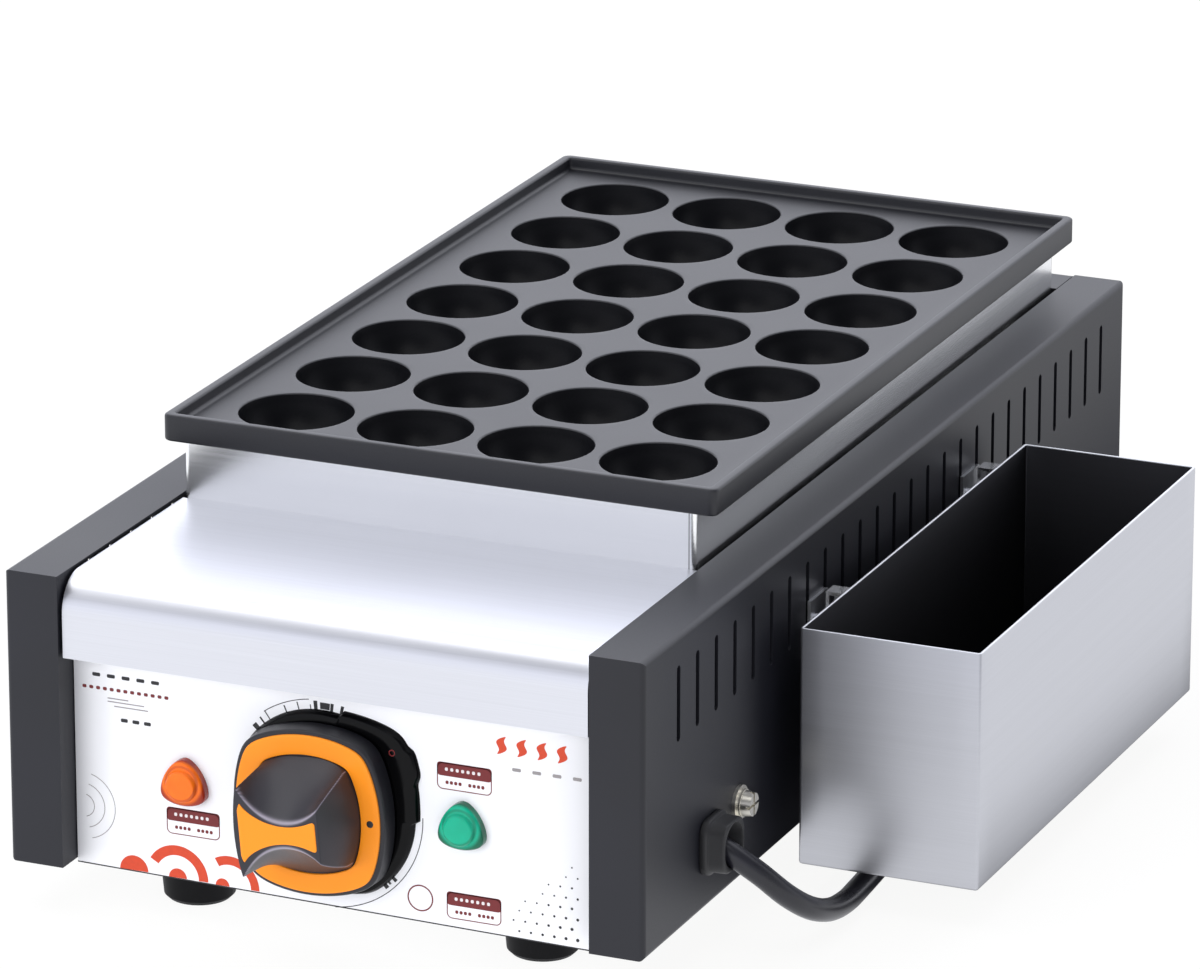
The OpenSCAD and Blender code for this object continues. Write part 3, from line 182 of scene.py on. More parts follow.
class StageSettings(bpy.types.PropertyGroup):
    lens: FloatProperty(
        name="Lens", description="Focal length on a sensor 36 mm wide", default=243.58)
    sky: FloatProperty(
        name="Sky", description="Brightness of the light from behind", default=2.0)
    softbox: FloatProperty(
        name="Softbox", description="Power of the softbox on the left, in watts",
        default=6.0)
    fill: FloatProperty(
        name="Fill", description="Power of the soft fill light in front, in watts",
        default=20.0)


def settings(group):
    return getattr(bpy.context.scene, "takoyaki_" + group)


# ---- Shader expressions ----


class Value:
    """A socket of a finish, on which Python's operators add Math nodes."""

    def __init__(self, finish, socket):
        self.finish, self.socket = finish, socket

    def _math(self, operation, a, b):
        return self.finish.node("ShaderNodeMath", {"operation": operation}, [a, b])

    def __add__(self, other):
        return self._math("ADD", self, other)

    __radd__ = __add__

    def __sub__(self, other):
        return self._math("SUBTRACT", self, other)

    def __rsub__(self, other):
        return self._math("SUBTRACT", other, self)

    def __mul__(self, other):
        return self._math("MULTIPLY", self, other)

    __rmul__ = __mul__

    def __pow__(self, other):
        return self._math("POWER", self, other)

    def __rpow__(self, other):
        return self._math("POWER", other, self)

    def __abs__(self):
        return self._math("ABSOLUTE", self, 0.0)

    def step(self, low, high):
        """0 below low, 1 above high and smooth between; low may be the larger."""
        return self.finish.node(
            "ShaderNodeMapRange", {"interpolation_type": "SMOOTHSTEP"},
            {"Value": self, "From Min": low, "From Max": high})


class Graph:
    """A node tree whose sockets take numbers, colours or Values."""

    def __init__(self, tree):
        self.tree = tree
        tree.nodes.clear()

    def _fill(self, node, key, value):
        socket = node.inputs[key]
        if isinstance(value, Value):
            self.tree.links.new(value.socket, socket)
        elif socket.type == "RGBA" and len(value) == 3:
            socket.default_value = (*value, 1.0)
        else:
            socket.default_value = value

    def node(self, kind, options=None, sockets=(), output=0):
        """Adds a node of a type, sets its options, fills its sockets by index or name
        and returns one of its outputs. A ramp's stops are an option as well."""
        node = self.tree.nodes.new(kind)
        for key, value in (options or {}).items():
            if key == "stops":
                ramp = node.color_ramp.elements
                for place, colour in value[2:]:
                    ramp.new(place)
                for element, (place, colour) in zip(ramp, sorted(value)):
                    element.position, element.color = place, (*colour, 1.0)
            else:
                setattr(node, key, value)
        pairs = sockets.items() if isinstance(sockets, dict) else enumerate(sockets)
        for key, value in pairs:
            self._fill(node, key, value)
        return Value(self, node.outputs[output])

    def mix(self, factor, a, b):
        """Colour a where factor is 0, and b where it is 1."""
        return self.node("ShaderNodeMix", {"data_type": "RGBA"}, {0: factor, 6: a, 7: b}, 2)


class Finish(Graph):
    """A material with one Principled shader."""

    def __init__(self, name, **sockets):
        self.material = bpy.data.materials.new(name)
        self.material.use_nodes = True
        super().__init__(self.material.node_tree)
        self.shader = self.tree.nodes.new("ShaderNodeBsdfPrincipled")
        output = self.tree.nodes.new("ShaderNodeOutputMaterial")
        self.tree.links.new(self.shader.outputs["BSDF"], output.inputs["Surface"])
        self.set(**sockets)

    def set(self, **sockets):
        """Sets the shader's sockets; base_color stands for Base Color, and so on."""
        names = {s.name.lower().replace(" ", "_"): s.name for s in self.shader.inputs}
        for key, value in sockets.items():
            self._fill(self.shader, names[key], value)
        return self

    def spot(self, scale=(1, 1, 1)):
        """The point on the surface in metres, stretched by scale."""
        place = self.node("ShaderNodeTexCoord", output="Object")
        return self.node("ShaderNodeMapping", None, {"Vector": place, "Scale": scale})

    def axis(self, letter):
        return self.node("ShaderNodeSeparateXYZ", None, [self.spot()], letter)

    def noise(self, scale, detail=2.0, stretch=(1, 1, 1), roughness=0.5):
        """Noise from 0 to 1 with scale cells to the metre."""
        return self.node(
            "ShaderNodeTexNoise", None,
            {"Vector": self.spot(stretch), "Scale": scale, "Detail": detail,
             "Roughness": roughness})

    def bump(self, height, depth, strength=1.0):
        """Normal of a surface raised by height times depth, in metres."""
        return self.node("ShaderNodeBump", None,
                         {"Strength": strength, "Distance": depth, "Height": height})


def shade(colour, factor):
    return tuple(min(1.0, c * factor) for c in colour)


# ---- Finishes ----


def powder_coat(name, colour, roughness=0.40):
    """Black powder coat: fine orange peel, faint dust, slightly uneven gloss."""
    f = Finish(name)
    peel = f.noise(1500, 3)
    cloud = f.noise(14, 2)
    return f.set(
        base_color=f.mix(cloud.step(0.3, 0.7), shade(colour, 0.8), shade(colour, 1.25)),
        roughness=roughness + 0.06 * cloud + 0.08 * peel,
        normal=f.bump(peel, 0.03 * MM, 0.35))


def brushed_steel(name, colour, stretch, roughness=0.30, seams=()):
    """Brushed steel whose scratches run along the axes that stretch leaves small.
    Each seam is (axis, place, axis that must be below, limit): a dark joint line."""
    f = Finish(name)
    fine = f.noise(1.0, 3, tuple(s * 2600 for s in stretch), 0.6)
    coarse = f.noise(1.0, 2, tuple(s * 420 for s in stretch))
    cloud = f.noise(9, 2)
    tone = f.mix(0.55 * fine + 0.25 * coarse + 0.2 * cloud,
                 shade(colour, 0.86), shade(colour, 1.10))
    for across, place, along, limit in seams:
        line = abs(f.axis(across) - place).step(0.30 * MM, 0.12 * MM)
        tone = f.mix(line * f.axis(along).step(limit + 0.4 * MM, limit), tone,
                     shade(colour, 0.25))
    return f.set(
        base_color=tone, metallic=1.0,
        roughness=roughness + 0.10 * fine + 0.06 * cloud - 0.06,
        normal=f.bump(fine, 0.012 * MM, 0.25))


def plated_steel(name, colour, roughness=0.25):
    """Zinc or nickel plate: a cloudy sheen with faint spangle."""
    f = Finish(name)
    cloud, grain = f.noise(90, 3), f.noise(900, 2)
    return f.set(
        base_color=f.mix(cloud, shade(colour, 0.82), shade(colour, 1.12)), metallic=1.0,
        roughness=roughness + 0.14 * grain + 0.08 * cloud,
        normal=f.bump(grain, 0.01 * MM, 0.3))


def moulded_plastic(name, colour, roughness, peel=0.02, coat=0.0, scale=900, **sockets):
    """Moulded plastic: even colour, slight flow marks, a fine eroded grain."""
    f = Finish(name, coat_weight=coat, coat_roughness=0.12, **sockets)
    flow, grain = f.noise(35, 2), f.noise(scale, 2)
    return f.set(
        base_color=f.mix(flow, shade(colour, 0.93), shade(colour, 1.07)),
        roughness=roughness + 0.06 * grain + 0.05 * flow - 0.04,
        normal=f.bump(grain, peel * MM, 0.4))


def rubber(name, colour, roughness=0.5, level=0.5):
    """Moulded rubber: dark, with a fine matt grain and a little bloom."""
    f = Finish(name, specular_ior_level=level)
    bloom, grain = f.noise(45, 3), f.noise(2200, 2)
    return f.set(
        base_color=f.mix(bloom.step(0.35, 0.8), colour, shade(colour, 1.7)),
        roughness=roughness + 0.08 * grain + 0.08 * bloom - 0.05,
        normal=f.bump(grain, 0.02 * MM, 0.4))


def cast_coating(name, colour, roughness=0.36, pebble_depth=0.05, level=0.5):
    """Non-stick coating over cast metal: a fine pebble, with a little worn sheen on the deck;
    deeper and less shiny in the cups, whose copy is also darker: painted shade."""
    f = Finish(name, specular_ior_level=level)
    pebble = f.noise(1300, 2, roughness=0.7)
    broad = f.noise(16, 2)
    return f.set(
        base_color=f.mix(pebble, shade(colour, 0.7), shade(colour, 1.5)),
        roughness=roughness + 0.08 * pebble + 0.05 * broad,
        normal=f.bump(pebble, pebble_depth * MM, 0.30))


def fibre_board(name, colour):
    """Pressed mineral fibre: matt, with short fibres and specks."""
    f = Finish(name, roughness=0.95)
    fibre = f.noise(300, 5, (1, 1, 3), 0.7)
    return f.set(
        base_color=f.mix(fibre, shade(colour, 0.75), shade(colour, 1.1)),
        normal=f.bump(fibre, 0.3 * MM, 0.5))


def heater_sheath(name, colour):
    """Heater tube: steel that heat has browned in bands along its length."""
    f = Finish(name)
    heat, grain = f.noise(30, 3, (1, 3, 1)), f.noise(1200, 2)
    return f.set(
        base_color=f.mix(heat.step(0.35, 0.7), colour, (0.16, 0.10, 0.075)), metallic=0.9,
        roughness=0.38 + 0.15 * grain, normal=f.bump(grain, 0.02 * MM, 0.4))


def panel_enamel(name):
    """White printed sheet under a clear gloss coat, very slightly wavy."""
    f = Finish(name, coat_weight=0.35, coat_roughness=0.08)
    wave, speck = f.noise(20, 2), f.noise(700, 2)
    return f.set(
        base_color=f.mix(wave, (0.86, 0.865, 0.89), (0.92, 0.92, 0.935)),
        roughness=0.28 + 0.06 * speck, normal=f.bump(wave, 0.05 * MM, 0.2))


def ink(name, colour):
    """Screen-printed ink: satin, a touch uneven."""
    f = Finish(name)
    blot = f.noise(600, 2)
    return f.set(base_color=f.mix(blot, shade(colour, 0.85), shade(colour, 1.1)),
                 roughness=0.35 + 0.1 * blot)


MADE = {}


def finishes():
    """Every finish by its name, made once. Those of the record's slots have the slot's
    name."""
    if MADE:
        return MADE
    case = settings("case")
    steel, knob = tuple(case.steel), settings("knob")
    riser_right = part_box("riser")[1][0]
    riser_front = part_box("riser")[0][1]
    MADE.update({
        "black_case": powder_coat("black_case", tuple(case.powder)),
        "zinc": plated_steel("zinc", (0.60, 0.61, 0.63)),
        # stainless is the steel brightened by 1.14: painted light on the riser.
        "stainless": brushed_steel(
            "stainless", shade(steel, 1.14), (0.004, 0.004, 1.0), 0.22,
            seams=[("X", riser_right - 2.4 * MM, "Y", riser_front + 0.5 * MM)]),
        # The cover's and the box's steel are darker copies of the same steel: painted shade.
        "cover_steel": brushed_steel("cover_steel", shade(steel, 0.84), (0.004, 1.0, 1.0), 0.34),
        "box_steel": brushed_steel("box_steel", shade(steel, 0.60), (0.006, 0.006, 1.0), 0.33),
        # The box's inside is near-black steel: painted shade in its hollow.
        "box_inside": brushed_steel("box_inside", (0.05, 0.05, 0.055), (0.006, 0.006, 1.0), 0.45),
        "panel_white": panel_enamel("panel_white"),
        "nonstick_cast": cast_coating("nonstick_cast", tuple(settings("plate").coating)),
        # The cups' coating is a darker copy: painted shade in the hollows.
        "cup_coating": cast_coating("cup_coating", shade(settings("plate").coating, 0.35), 0.26,
                                    0.12, 0.10),
        "mineral_fibre": fibre_board("mineral_fibre", (0.74, 0.70, 0.62)),
        "heater_sheath": heater_sheath("heater_sheath", (0.30, 0.28, 0.27)),
        "ceramic": moulded_plastic("ceramic", (0.80, 0.77, 0.70), 0.22, coat=0.5),
        "pale_plastic": moulded_plastic("pale_plastic", (0.74, 0.72, 0.66), 0.45),
        "copper": plated_steel("copper", (0.72, 0.36, 0.22), 0.28),
        "dial_gloss": moulded_plastic("dial_gloss", (0.001, 0.001, 0.0013), 0.14, 0.01,
                                      specular_ior_level=0.15),
        "foot_rubber": rubber("foot_rubber", (0.003, 0.003, 0.0034), 0.5, 0.12),
        "bolt_metal": plated_steel("bolt_metal", (0.86, 0.83, 0.74), 0.2),
        "black_gloss": moulded_plastic("black_gloss", (0.006, 0.006, 0.007), 0.16, 0.01, 0.3),
        "black_knob": moulded_plastic("black_knob", (0.010, 0.010, 0.014), 0.38, 0.05, scale=1700),
        "knob_grip": rim_highlight_plastic("knob_grip", (0.018, 0.017, 0.024)),
        "orange_plastic": moulded_plastic("orange_plastic", tuple(knob.orange), 0.36,
                                          specular_ior_level=0.3),
        # Each lens's second colour is its painted shade.
        "orange_lens": lens_plastic("orange_lens", (0.98, 0.17, 0.004), (0.30, 0.015, 0.004),
                                    "lamp_lens_orange"),
        "green_lens": lens_plastic("green_lens", (0.0, 0.42, 0.25), (0.0, 0.11, 0.055),
                                   "lamp_lens_green"),
        "wire_red": rubber("wire_red", (0.42, 0.015, 0.01), 0.4),
        "brass": plated_steel("brass", (0.72, 0.50, 0.20), 0.26),
        "nickel": plated_steel("nickel", (0.72, 0.66, 0.52), 0.24),
        "black_rubber": rubber("black_rubber", (0.012, 0.012, 0.013), 0.5),
        "cord_black": rubber("cord_black", (0.009, 0.009, 0.013), 0.26),
        "ink_black": ink("ink_black", (0.012, 0.012, 0.014)),
        "ink_red": ink("ink_red", tuple(case.print_red)),
        "ink_orange": ink("ink_orange", tuple(case.print_orange)),
        "ink_grey": ink("ink_grey", (0.30, 0.28, 0.28)),
        "ink_white": ink("ink_white", (0.80, 0.74, 0.74)),
    })
    return MADE


def rim_highlight_plastic(name, colour):
    """Satin moulded plastic with a painted highlight along its rims."""
    f = Finish(name)
    grain, flow = f.noise(1700, 2), f.noise(60, 2)
    rim = f.node("ShaderNodeAttribute", {"attribute_name": "rim"}, output="Fac")
    # Painted highlight: the colour turns light grey along the rims, where the roughness also
    # drops.
    return f.set(
        base_color=f.mix(0.75 * rim, f.mix(flow, shade(colour, 0.9), shade(colour, 1.1)),
                         (0.42, 0.38, 0.46)),
        roughness=0.36 + 0.08 * grain - 0.10 * rim, normal=f.bump(grain, 0.05 * MM, 0.5))


def lens_plastic(name, colour, deep, node):
    """Translucent lamp lens: glossy, turning to its darker colour at its rim, at the edge of its
    boss and towards the panel, which is painted shade."""
    f = Finish(name, coat_weight=0.4, coat_roughness=0.04, specular_ior_level=0.2,
               subsurface_weight=0.25,
               subsurface_radius=(0.004, 0.002, 0.001), subsurface_scale=0.5)
    swirl = f.noise(150, 2)
    x, _, z = centre(node)
    away = ((f.axis("X") - x) ** 2 + (f.axis("Z") - z) ** 2) ** 0.5
    # Painted shade: darker at the lens's rim, in a ring at the boss's edge and towards the panel.
    rim = away.step(6.4 * MM, 8.6 * MM) + 0.55 * abs(away - 5.9 * MM).step(0.9 * MM, 0.2 * MM)
    foot = f.axis("Y").step(PANEL_FRONT - 4.0 * MM, PANEL_FRONT - 2.0 * MM)
    tone = f.mix(swirl, shade(colour, 0.85), shade(colour, 1.15))
    return f.set(base_color=f.mix((0.85 * rim + 0.6 * foot).step(0.0, 1.0), tone, deep),
                 roughness=0.22 + 0.06 * swirl)


# ---- Surfaces ----


def grid_faces(rows, columns, wrap):
    """Quads between neighbouring points of a grid that is numbered row by row. With
    wrap, the last column meets the first."""
    r, c = np.meshgrid(np.arange(rows - 1), np.arange(columns if wrap else columns - 1),
                       indexing="ij")
    right = (c + 1) % columns
    return np.stack([r * columns + c, r * columns + right, (r + 1) * columns + right,
                     (r + 1) * columns + c], axis=-1).reshape(-1, 4)


def piece(name, body, slot, patches, stands_for=(), wraps=True, sharp=40.0, outward=True,
          mark=None):
    """Makes one mesh object of several patches. A patch is an array of points, rows by
    columns by 3, or a pair of that and a finish. Coincident points are merged. A mark
    is an attribute's name and its values, one array for each patch."""
    finish_names, points, faces, marks, first = [], [], [], [], 0
    for patch in patches:
        grid, finish = patch if isinstance(patch, tuple) else (patch, slot)
        if finish not in finish_names:
            finish_names.append(finish)
        quads = grid_faces(grid.shape[0], grid.shape[1], wraps)
        points.append(grid.reshape(-1, 3))
        faces.append(quads + first)
        marks.append(np.full(len(quads), finish_names.index(finish)))
        first += len(points[-1])
    mesh = bpy.data.meshes.new(name)
    mesh.from_pydata(np.concatenate(points).tolist(), [], np.concatenate(faces).tolist())
    mesh.polygons.foreach_set("material_index", np.concatenate(marks).astype(np.int32))
    if mark:
        values = np.concatenate([v.reshape(-1) for v in mark[1]]).astype(np.float32)
        mesh.attributes.new(mark[0], "FLOAT", "POINT").data.foreach_set("value", values)
    shape = bmesh.new()
    shape.from_mesh(mesh)
    bmesh.ops.remove_doubles(shape, verts=shape.verts, dist=0.004 * MM)
    if outward:
        bmesh.ops.recalc_face_normals(shape, faces=shape.faces)
    shape.to_mesh(mesh)
    shape.free()
    mesh.shade_smooth()
    mesh.set_sharp_from_angle(angle=np.radians(sharp))
    made = bpy.data.objects.new(name, mesh)
    bpy.context.scene.collection.objects.link(made)
    for finish in finish_names:
        mesh.materials.append(finishes()[finish].material)
    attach(made, body)
    if stands_for:
        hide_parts(*stands_for)
    slot in SLOTS.values()
    return made


def rounded_rectangle(half_x, half_y, r, steps_x=2, steps_y=2, arc=6):
    """Closed loop: a quarter circle of radius r at each corner, and even steps along
    the straight sides between them."""
    sweep = np.linspace(0, np.pi / 2, arc + 1)
    corners = []
    for turn, (sx, sy) in enumerate([(1, 1), (-1, 1), (-1, -1), (1, -1)]):
        angle = sweep + turn * np.pi / 2
        corners.append(np.stack([sx * (half_x - r) + r * np.cos(angle),
                                 sy * (half_y - r) + r * np.sin(angle)], axis=-1))
    loop = []
    for turn, corner in enumerate(corners):
        along = corners[(turn + 1) % 4][0] - corner[-1]
        steps = steps_x if turn % 2 == 0 else steps_y
        share = np.arange(1, steps)[:, None] / steps
        loop += [corner, corner[-1] + share * along]
    return np.concatenate(loop)


def lathe_loops(loops, heights):
    """Stacks flat loops (each n by 2) at heights: a grid of rows by n by 3."""
    return np.stack([np.column_stack([loop, np.full(len(loop), h)])
                     for loop, h in zip(loops, heights)])


def circle_reach(angle, x, y, r):
    """Distance from the origin, at each angle, to the circle of radius r about (x, y),
    which holds the origin: the root of |t d - c| = r along the direction d."""
    along = x * np.cos(angle) + y * np.sin(angle)
    return along + np.sqrt(along ** 2 - x * x - y * y + r * r)


def soft_least(values, soft):
    """Smooth minimum over the first axis: -soft log(sum(exp(-value / soft)))."""
    values = np.asarray(values)
    least = values.min(axis=0)
    return least - soft * np.log(np.exp(-(values - least) / soft).sum(axis=0))


def bulged_square(angle, w, h, bulge, corner, soft=0.5 * MM):
    """Reach of a square with four bulged sides: the least of four large circles and
    one that takes the corners off, smoothed where they meet."""
    side = (h * h / 4 * 0.64 + bulge ** 2) / (2 * bulge)
    top = (w * w / 4 * 0.64 + bulge ** 2) / (2 * bulge)
    return soft_least([
        circle_reach(angle, side - w / 2, 0, side), circle_reach(angle, w / 2 - side, 0, side),
        circle_reach(angle, 0, top - h / 2, top), circle_reach(angle, 0, h / 2 - top, top),
        np.full_like(angle, corner)], soft)


def polar(angle, reach):
    """Loop of points at each angle and reach."""
    return np.stack([np.cos(angle) * reach, np.sin(angle) * reach], axis=-1)


def on_dial(points, front, x=None):
    """Turns points drawn with x right, y up and z towards the user to the front of the
    machine, with their z = 0 at the plane y = front."""
    x = KNOB_X if x is None else x
    return np.stack([x + points[..., 0], front - points[..., 2], KNOB_Z + points[..., 1]], -1)


def on_knob(points):
    """The same for the knob: turned by its angle, moved by KNOB_SHIFT, and with z = 0 at
    the back of its skirt."""
    a = np.radians(settings("knob").turned)
    u, v = points[..., 0], points[..., 1]
    right, up = KNOB_SHIFT
    return on_dial(np.stack([u * np.cos(a) - v * np.sin(a) + right,
                             u * np.sin(a) + v * np.cos(a) + up, points[..., 2]], -1),
                   SKIRT_BACK)


def turn(count):
    return np.arange(count) / count * 2 * np.pi


def between(angle, start, end, soft=2.0):
    """1 for angles from start to end, in degrees, 0 outside, and smooth over soft."""
    middle, half = np.radians((start + end) / 2), np.radians((end - start) / 2)
    away = np.abs((angle - middle + np.pi) % (2 * np.pi) - np.pi)
    t = np.clip((half - away) / np.radians(soft) + 0.5, 0, 1)
    return t * t * (3 - 2 * t)


def quarter(inset, height, r, steps=4, start=0.0, end=90.0):
    """(inset, height) pairs along a quarter round of radius r that starts at (inset,
    height - r) on a side and ends at (inset + r, height) on a top."""
    a = np.radians(np.linspace(start, end, steps + 1))
    return [(inset + r - r * np.cos(t), height - r + r * np.sin(t)) for t in a]


# ---- Lead ----

# The lead's route in the machine's own frame, in millimetres, as in the solid model.
LEAD_POINTS = [
    (120.8, -212, 40.6), (127.5, -211.8, 37), (136, -209, 30.5), (143, -203, 22),
    (147.5, -193, 14.5), (149, -179, 9), (148.5, -163, 6), (147, -147, 4.8), (145, -120, 4.5),
    (142, -80, 4.5), (139, -30, 4.5), (136, 20, 4.5), (133, 70, 4.5), (130, 115, 4.5),
    (124, 152, 4.5), (112, 181, 4.6), (92, 199, 4.8), (60, 205.5, 5.2), (20, 205.5, 5.2),
    (-14, 205.5, 5.2)]
COIL_X = -30 * MM
COIL_TAIL = 16 * MM
COIL_Z = 5.2 * MM


def smooth_route(points, steps):
    """Catmull-Rom curve: between b and c it is half of 2b + (c-a)u + (2a-5b+4c-d)u^2
    + (3b-a-3c+d)u^3, with a and d the points on either side."""
    p = np.array(points, float)
    padded = np.concatenate([p[:1], p, p[-1:]])
    u = (np.arange(steps) / steps)[None, :, None]
    a, b, c, d = (padded[i:len(p) - 1 + i, None, :] for i in range(4))
    curve = 0.5 * (2 * b + (c - a) * u + (2 * a - 5 * b + 4 * c - d) * u ** 2
                   + (3 * b - a - 3 * c + d) * u ** 3)
    return np.concatenate([curve.reshape(-1, 3), p[-1:]])


def coil_route(lead, coil_y, per_turn=48):
    """Spiral of turns: radius = inner + pitch |t - turns / 2|, angle = -90 - 360 t, and
    a height that climbs one cord's width in the middle half turn."""
    t = np.linspace(0, lead.turns, int(lead.turns * per_turn) + 1)
    middle = t - lead.turns / 2
    r = lead.coil_radius + lead.coil_pitch * np.sqrt(middle ** 2 + 0.0016)
    climb = np.clip(middle * 2 + 0.5, 0, 1)
    z = COIL_Z + (lead.diameter + 0.7 * MM) * climb ** 2 * (3 - 2 * climb)
    angle = -np.pi / 2 - 2 * np.pi * t
    return np.stack([COIL_X + r * np.cos(angle), coil_y + r * np.sin(angle), z], axis=-1)


def tube(path, radius, sides):
    """Circle of a radius carried along a path, square to it: rings of points, with each
    end closed at its middle."""
    way = np.gradient(path, axis=0)
    way /= np.linalg.norm(way, axis=1)[:, None]
    side = np.cross(way, [0, 0, 1.0])
    side /= np.linalg.norm(side, axis=1)[:, None]
    over = np.cross(side, way)
    a = turn(sides)[None, :, None]
    rings = path[:, None] + radius * (np.cos(a) * side[:, None] + np.sin(a) * over[:, None])
    ends = np.zeros_like(rings[:1])
    return np.concatenate([ends + path[0], rings, ends + path[-1]])


class TAKOYAKI_OT_lead(bpy.types.Operator):
    """Make the mains cord with its stored coil, its gland and its plug"""

    bl_idname = "takoyaki.lead"
    bl_label = "Mains lead"

    def execute(self, context):
        lead = settings("lead")
        route = smooth_route(LEAD_POINTS, 4) * MM
        coil_y = route[-1][1] + lead.coil_radius + lead.coil_pitch * lead.turns / 2
        coil = coil_route(lead, coil_y)
        tail = coil[-1:] + [[COIL_TAIL, 0, 0]]
        path = np.concatenate([route, coil, tail]) + MIDDLE
        keep = np.concatenate([[True], np.linalg.norm(np.diff(path, axis=0), axis=1) > 0.5 * MM])
        path = path[keep]
        cord = piece("mains_cord", "machine", "cord_black",
                     [tube(path, lead.diameter / 2, 20)], ["cord_lead", "cord_coil"])
        self.make_gland()
        self.make_plug(path[-1])
        return {"FINISHED"}

    def make_gland(self):
        """Rounded square collar whose outline shrinks and rounds to the mouth's circle:
        each row is (half width, corner radius, distance from the wall)."""
        low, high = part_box("cord_gland")
        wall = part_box("side_panel_right")[1][0]
        reach = high[0] - wall
        rows = [(0.0, 0.0, -20), (6.0, 6.0, -20), (7.4, 7.4, -0.2), (7.5, 7.5, 0.0),
                (9.6, 5.0, 0.0), (10.0, 5.2, 0.5), (10.0, 5.2, 2.2), (9.7, 5.0, 2.8),
                (9.1, 4.7, 3.1), (8.9, 4.6, 3.6), (8.8, 4.6, 8.0), (8.7, 4.7, 8.6),
                (8.5, 5.4, 8.95), (8.2, 7.0, 9.0), (8.0, 8.0, 8.8), (7.6, 7.6, 8.0),
                (5.9, 5.9, 4.4), (4.6, 4.6, 1.6), (4.3, 4.3, 0.9), (0.0, 0.0, 0.9)]
        loops = [rounded_rectangle(h * MM, h * MM, r * MM, arc=8) for h, r, x in rows]
        mouth = max(x for *_, x in rows)
        stack = lathe_loops(loops, [x / mouth * reach if x > 0 else x * MM for *_, x in rows])
        y, z = centre("cord_gland")[1], centre("cord_gland")[2]
        points = np.stack([wall + stack[..., 2], y + stack[..., 0], z + stack[..., 1]], -1)
        piece("lead_gland", "machine", "black_rubber", [points], ["cord_gland"])

    def make_plug(self, start):
        """Tail of rings that widens, then a grip pinched at its waist: each row is
        (half width, half height, corner radius, distance from the cord's end)."""
        rows = [(0, 0, 0, 0), (4.6, 4.6, 4.6, 0), (5.0, 5.0, 5.0, 0.6)]
        for k in range(4):
            at, r = 3.9 + 4.4 * k, 6.0 + 0.5 * k
            rows += [(r - 0.6, r - 0.6, r - 0.6, at), (r, r, r, at + 0.3), (r, r, r, at + 1.7),
                     (r - 0.6, r - 0.6, r - 0.6, at + 2.0)]
        rows += [(8.0, 8.0, 8.0, 22.5), (15.0, 11.0, 5.5, 23.2), (17.2, 12.4, 5.0, 24.4),
                 (17.8, 12.9, 5.0, 26.5)]
        rows += [(17.8 - 2.9 * np.sin(np.pi * t) ** 2, 12.9, 5.0, 26.5 + 23.5 * t)
                 for t in np.linspace(0.1, 1, 9)]
        rows += [(17.2, 12.4, 4.6, 52.0), (16.0, 11.2, 4.0, 52.9), (13.0, 8.5, 3.0, 53.0),
                 (0, 0, 0, 53.0)]
        loops = [rounded_rectangle(w * MM, h * MM, r * MM, arc=7) for w, h, r, _ in rows]
        stack = lathe_loops(loops, [x * MM for *_, x in rows])
        points = np.stack([start[0] + stack[..., 2], start[1] + stack[..., 0],
                           start[2] + stack[..., 1]], -1)
        piece("plug_moulding", "machine", "cord_black", [points], ["plug_body"])


# ---- Cast plate ----


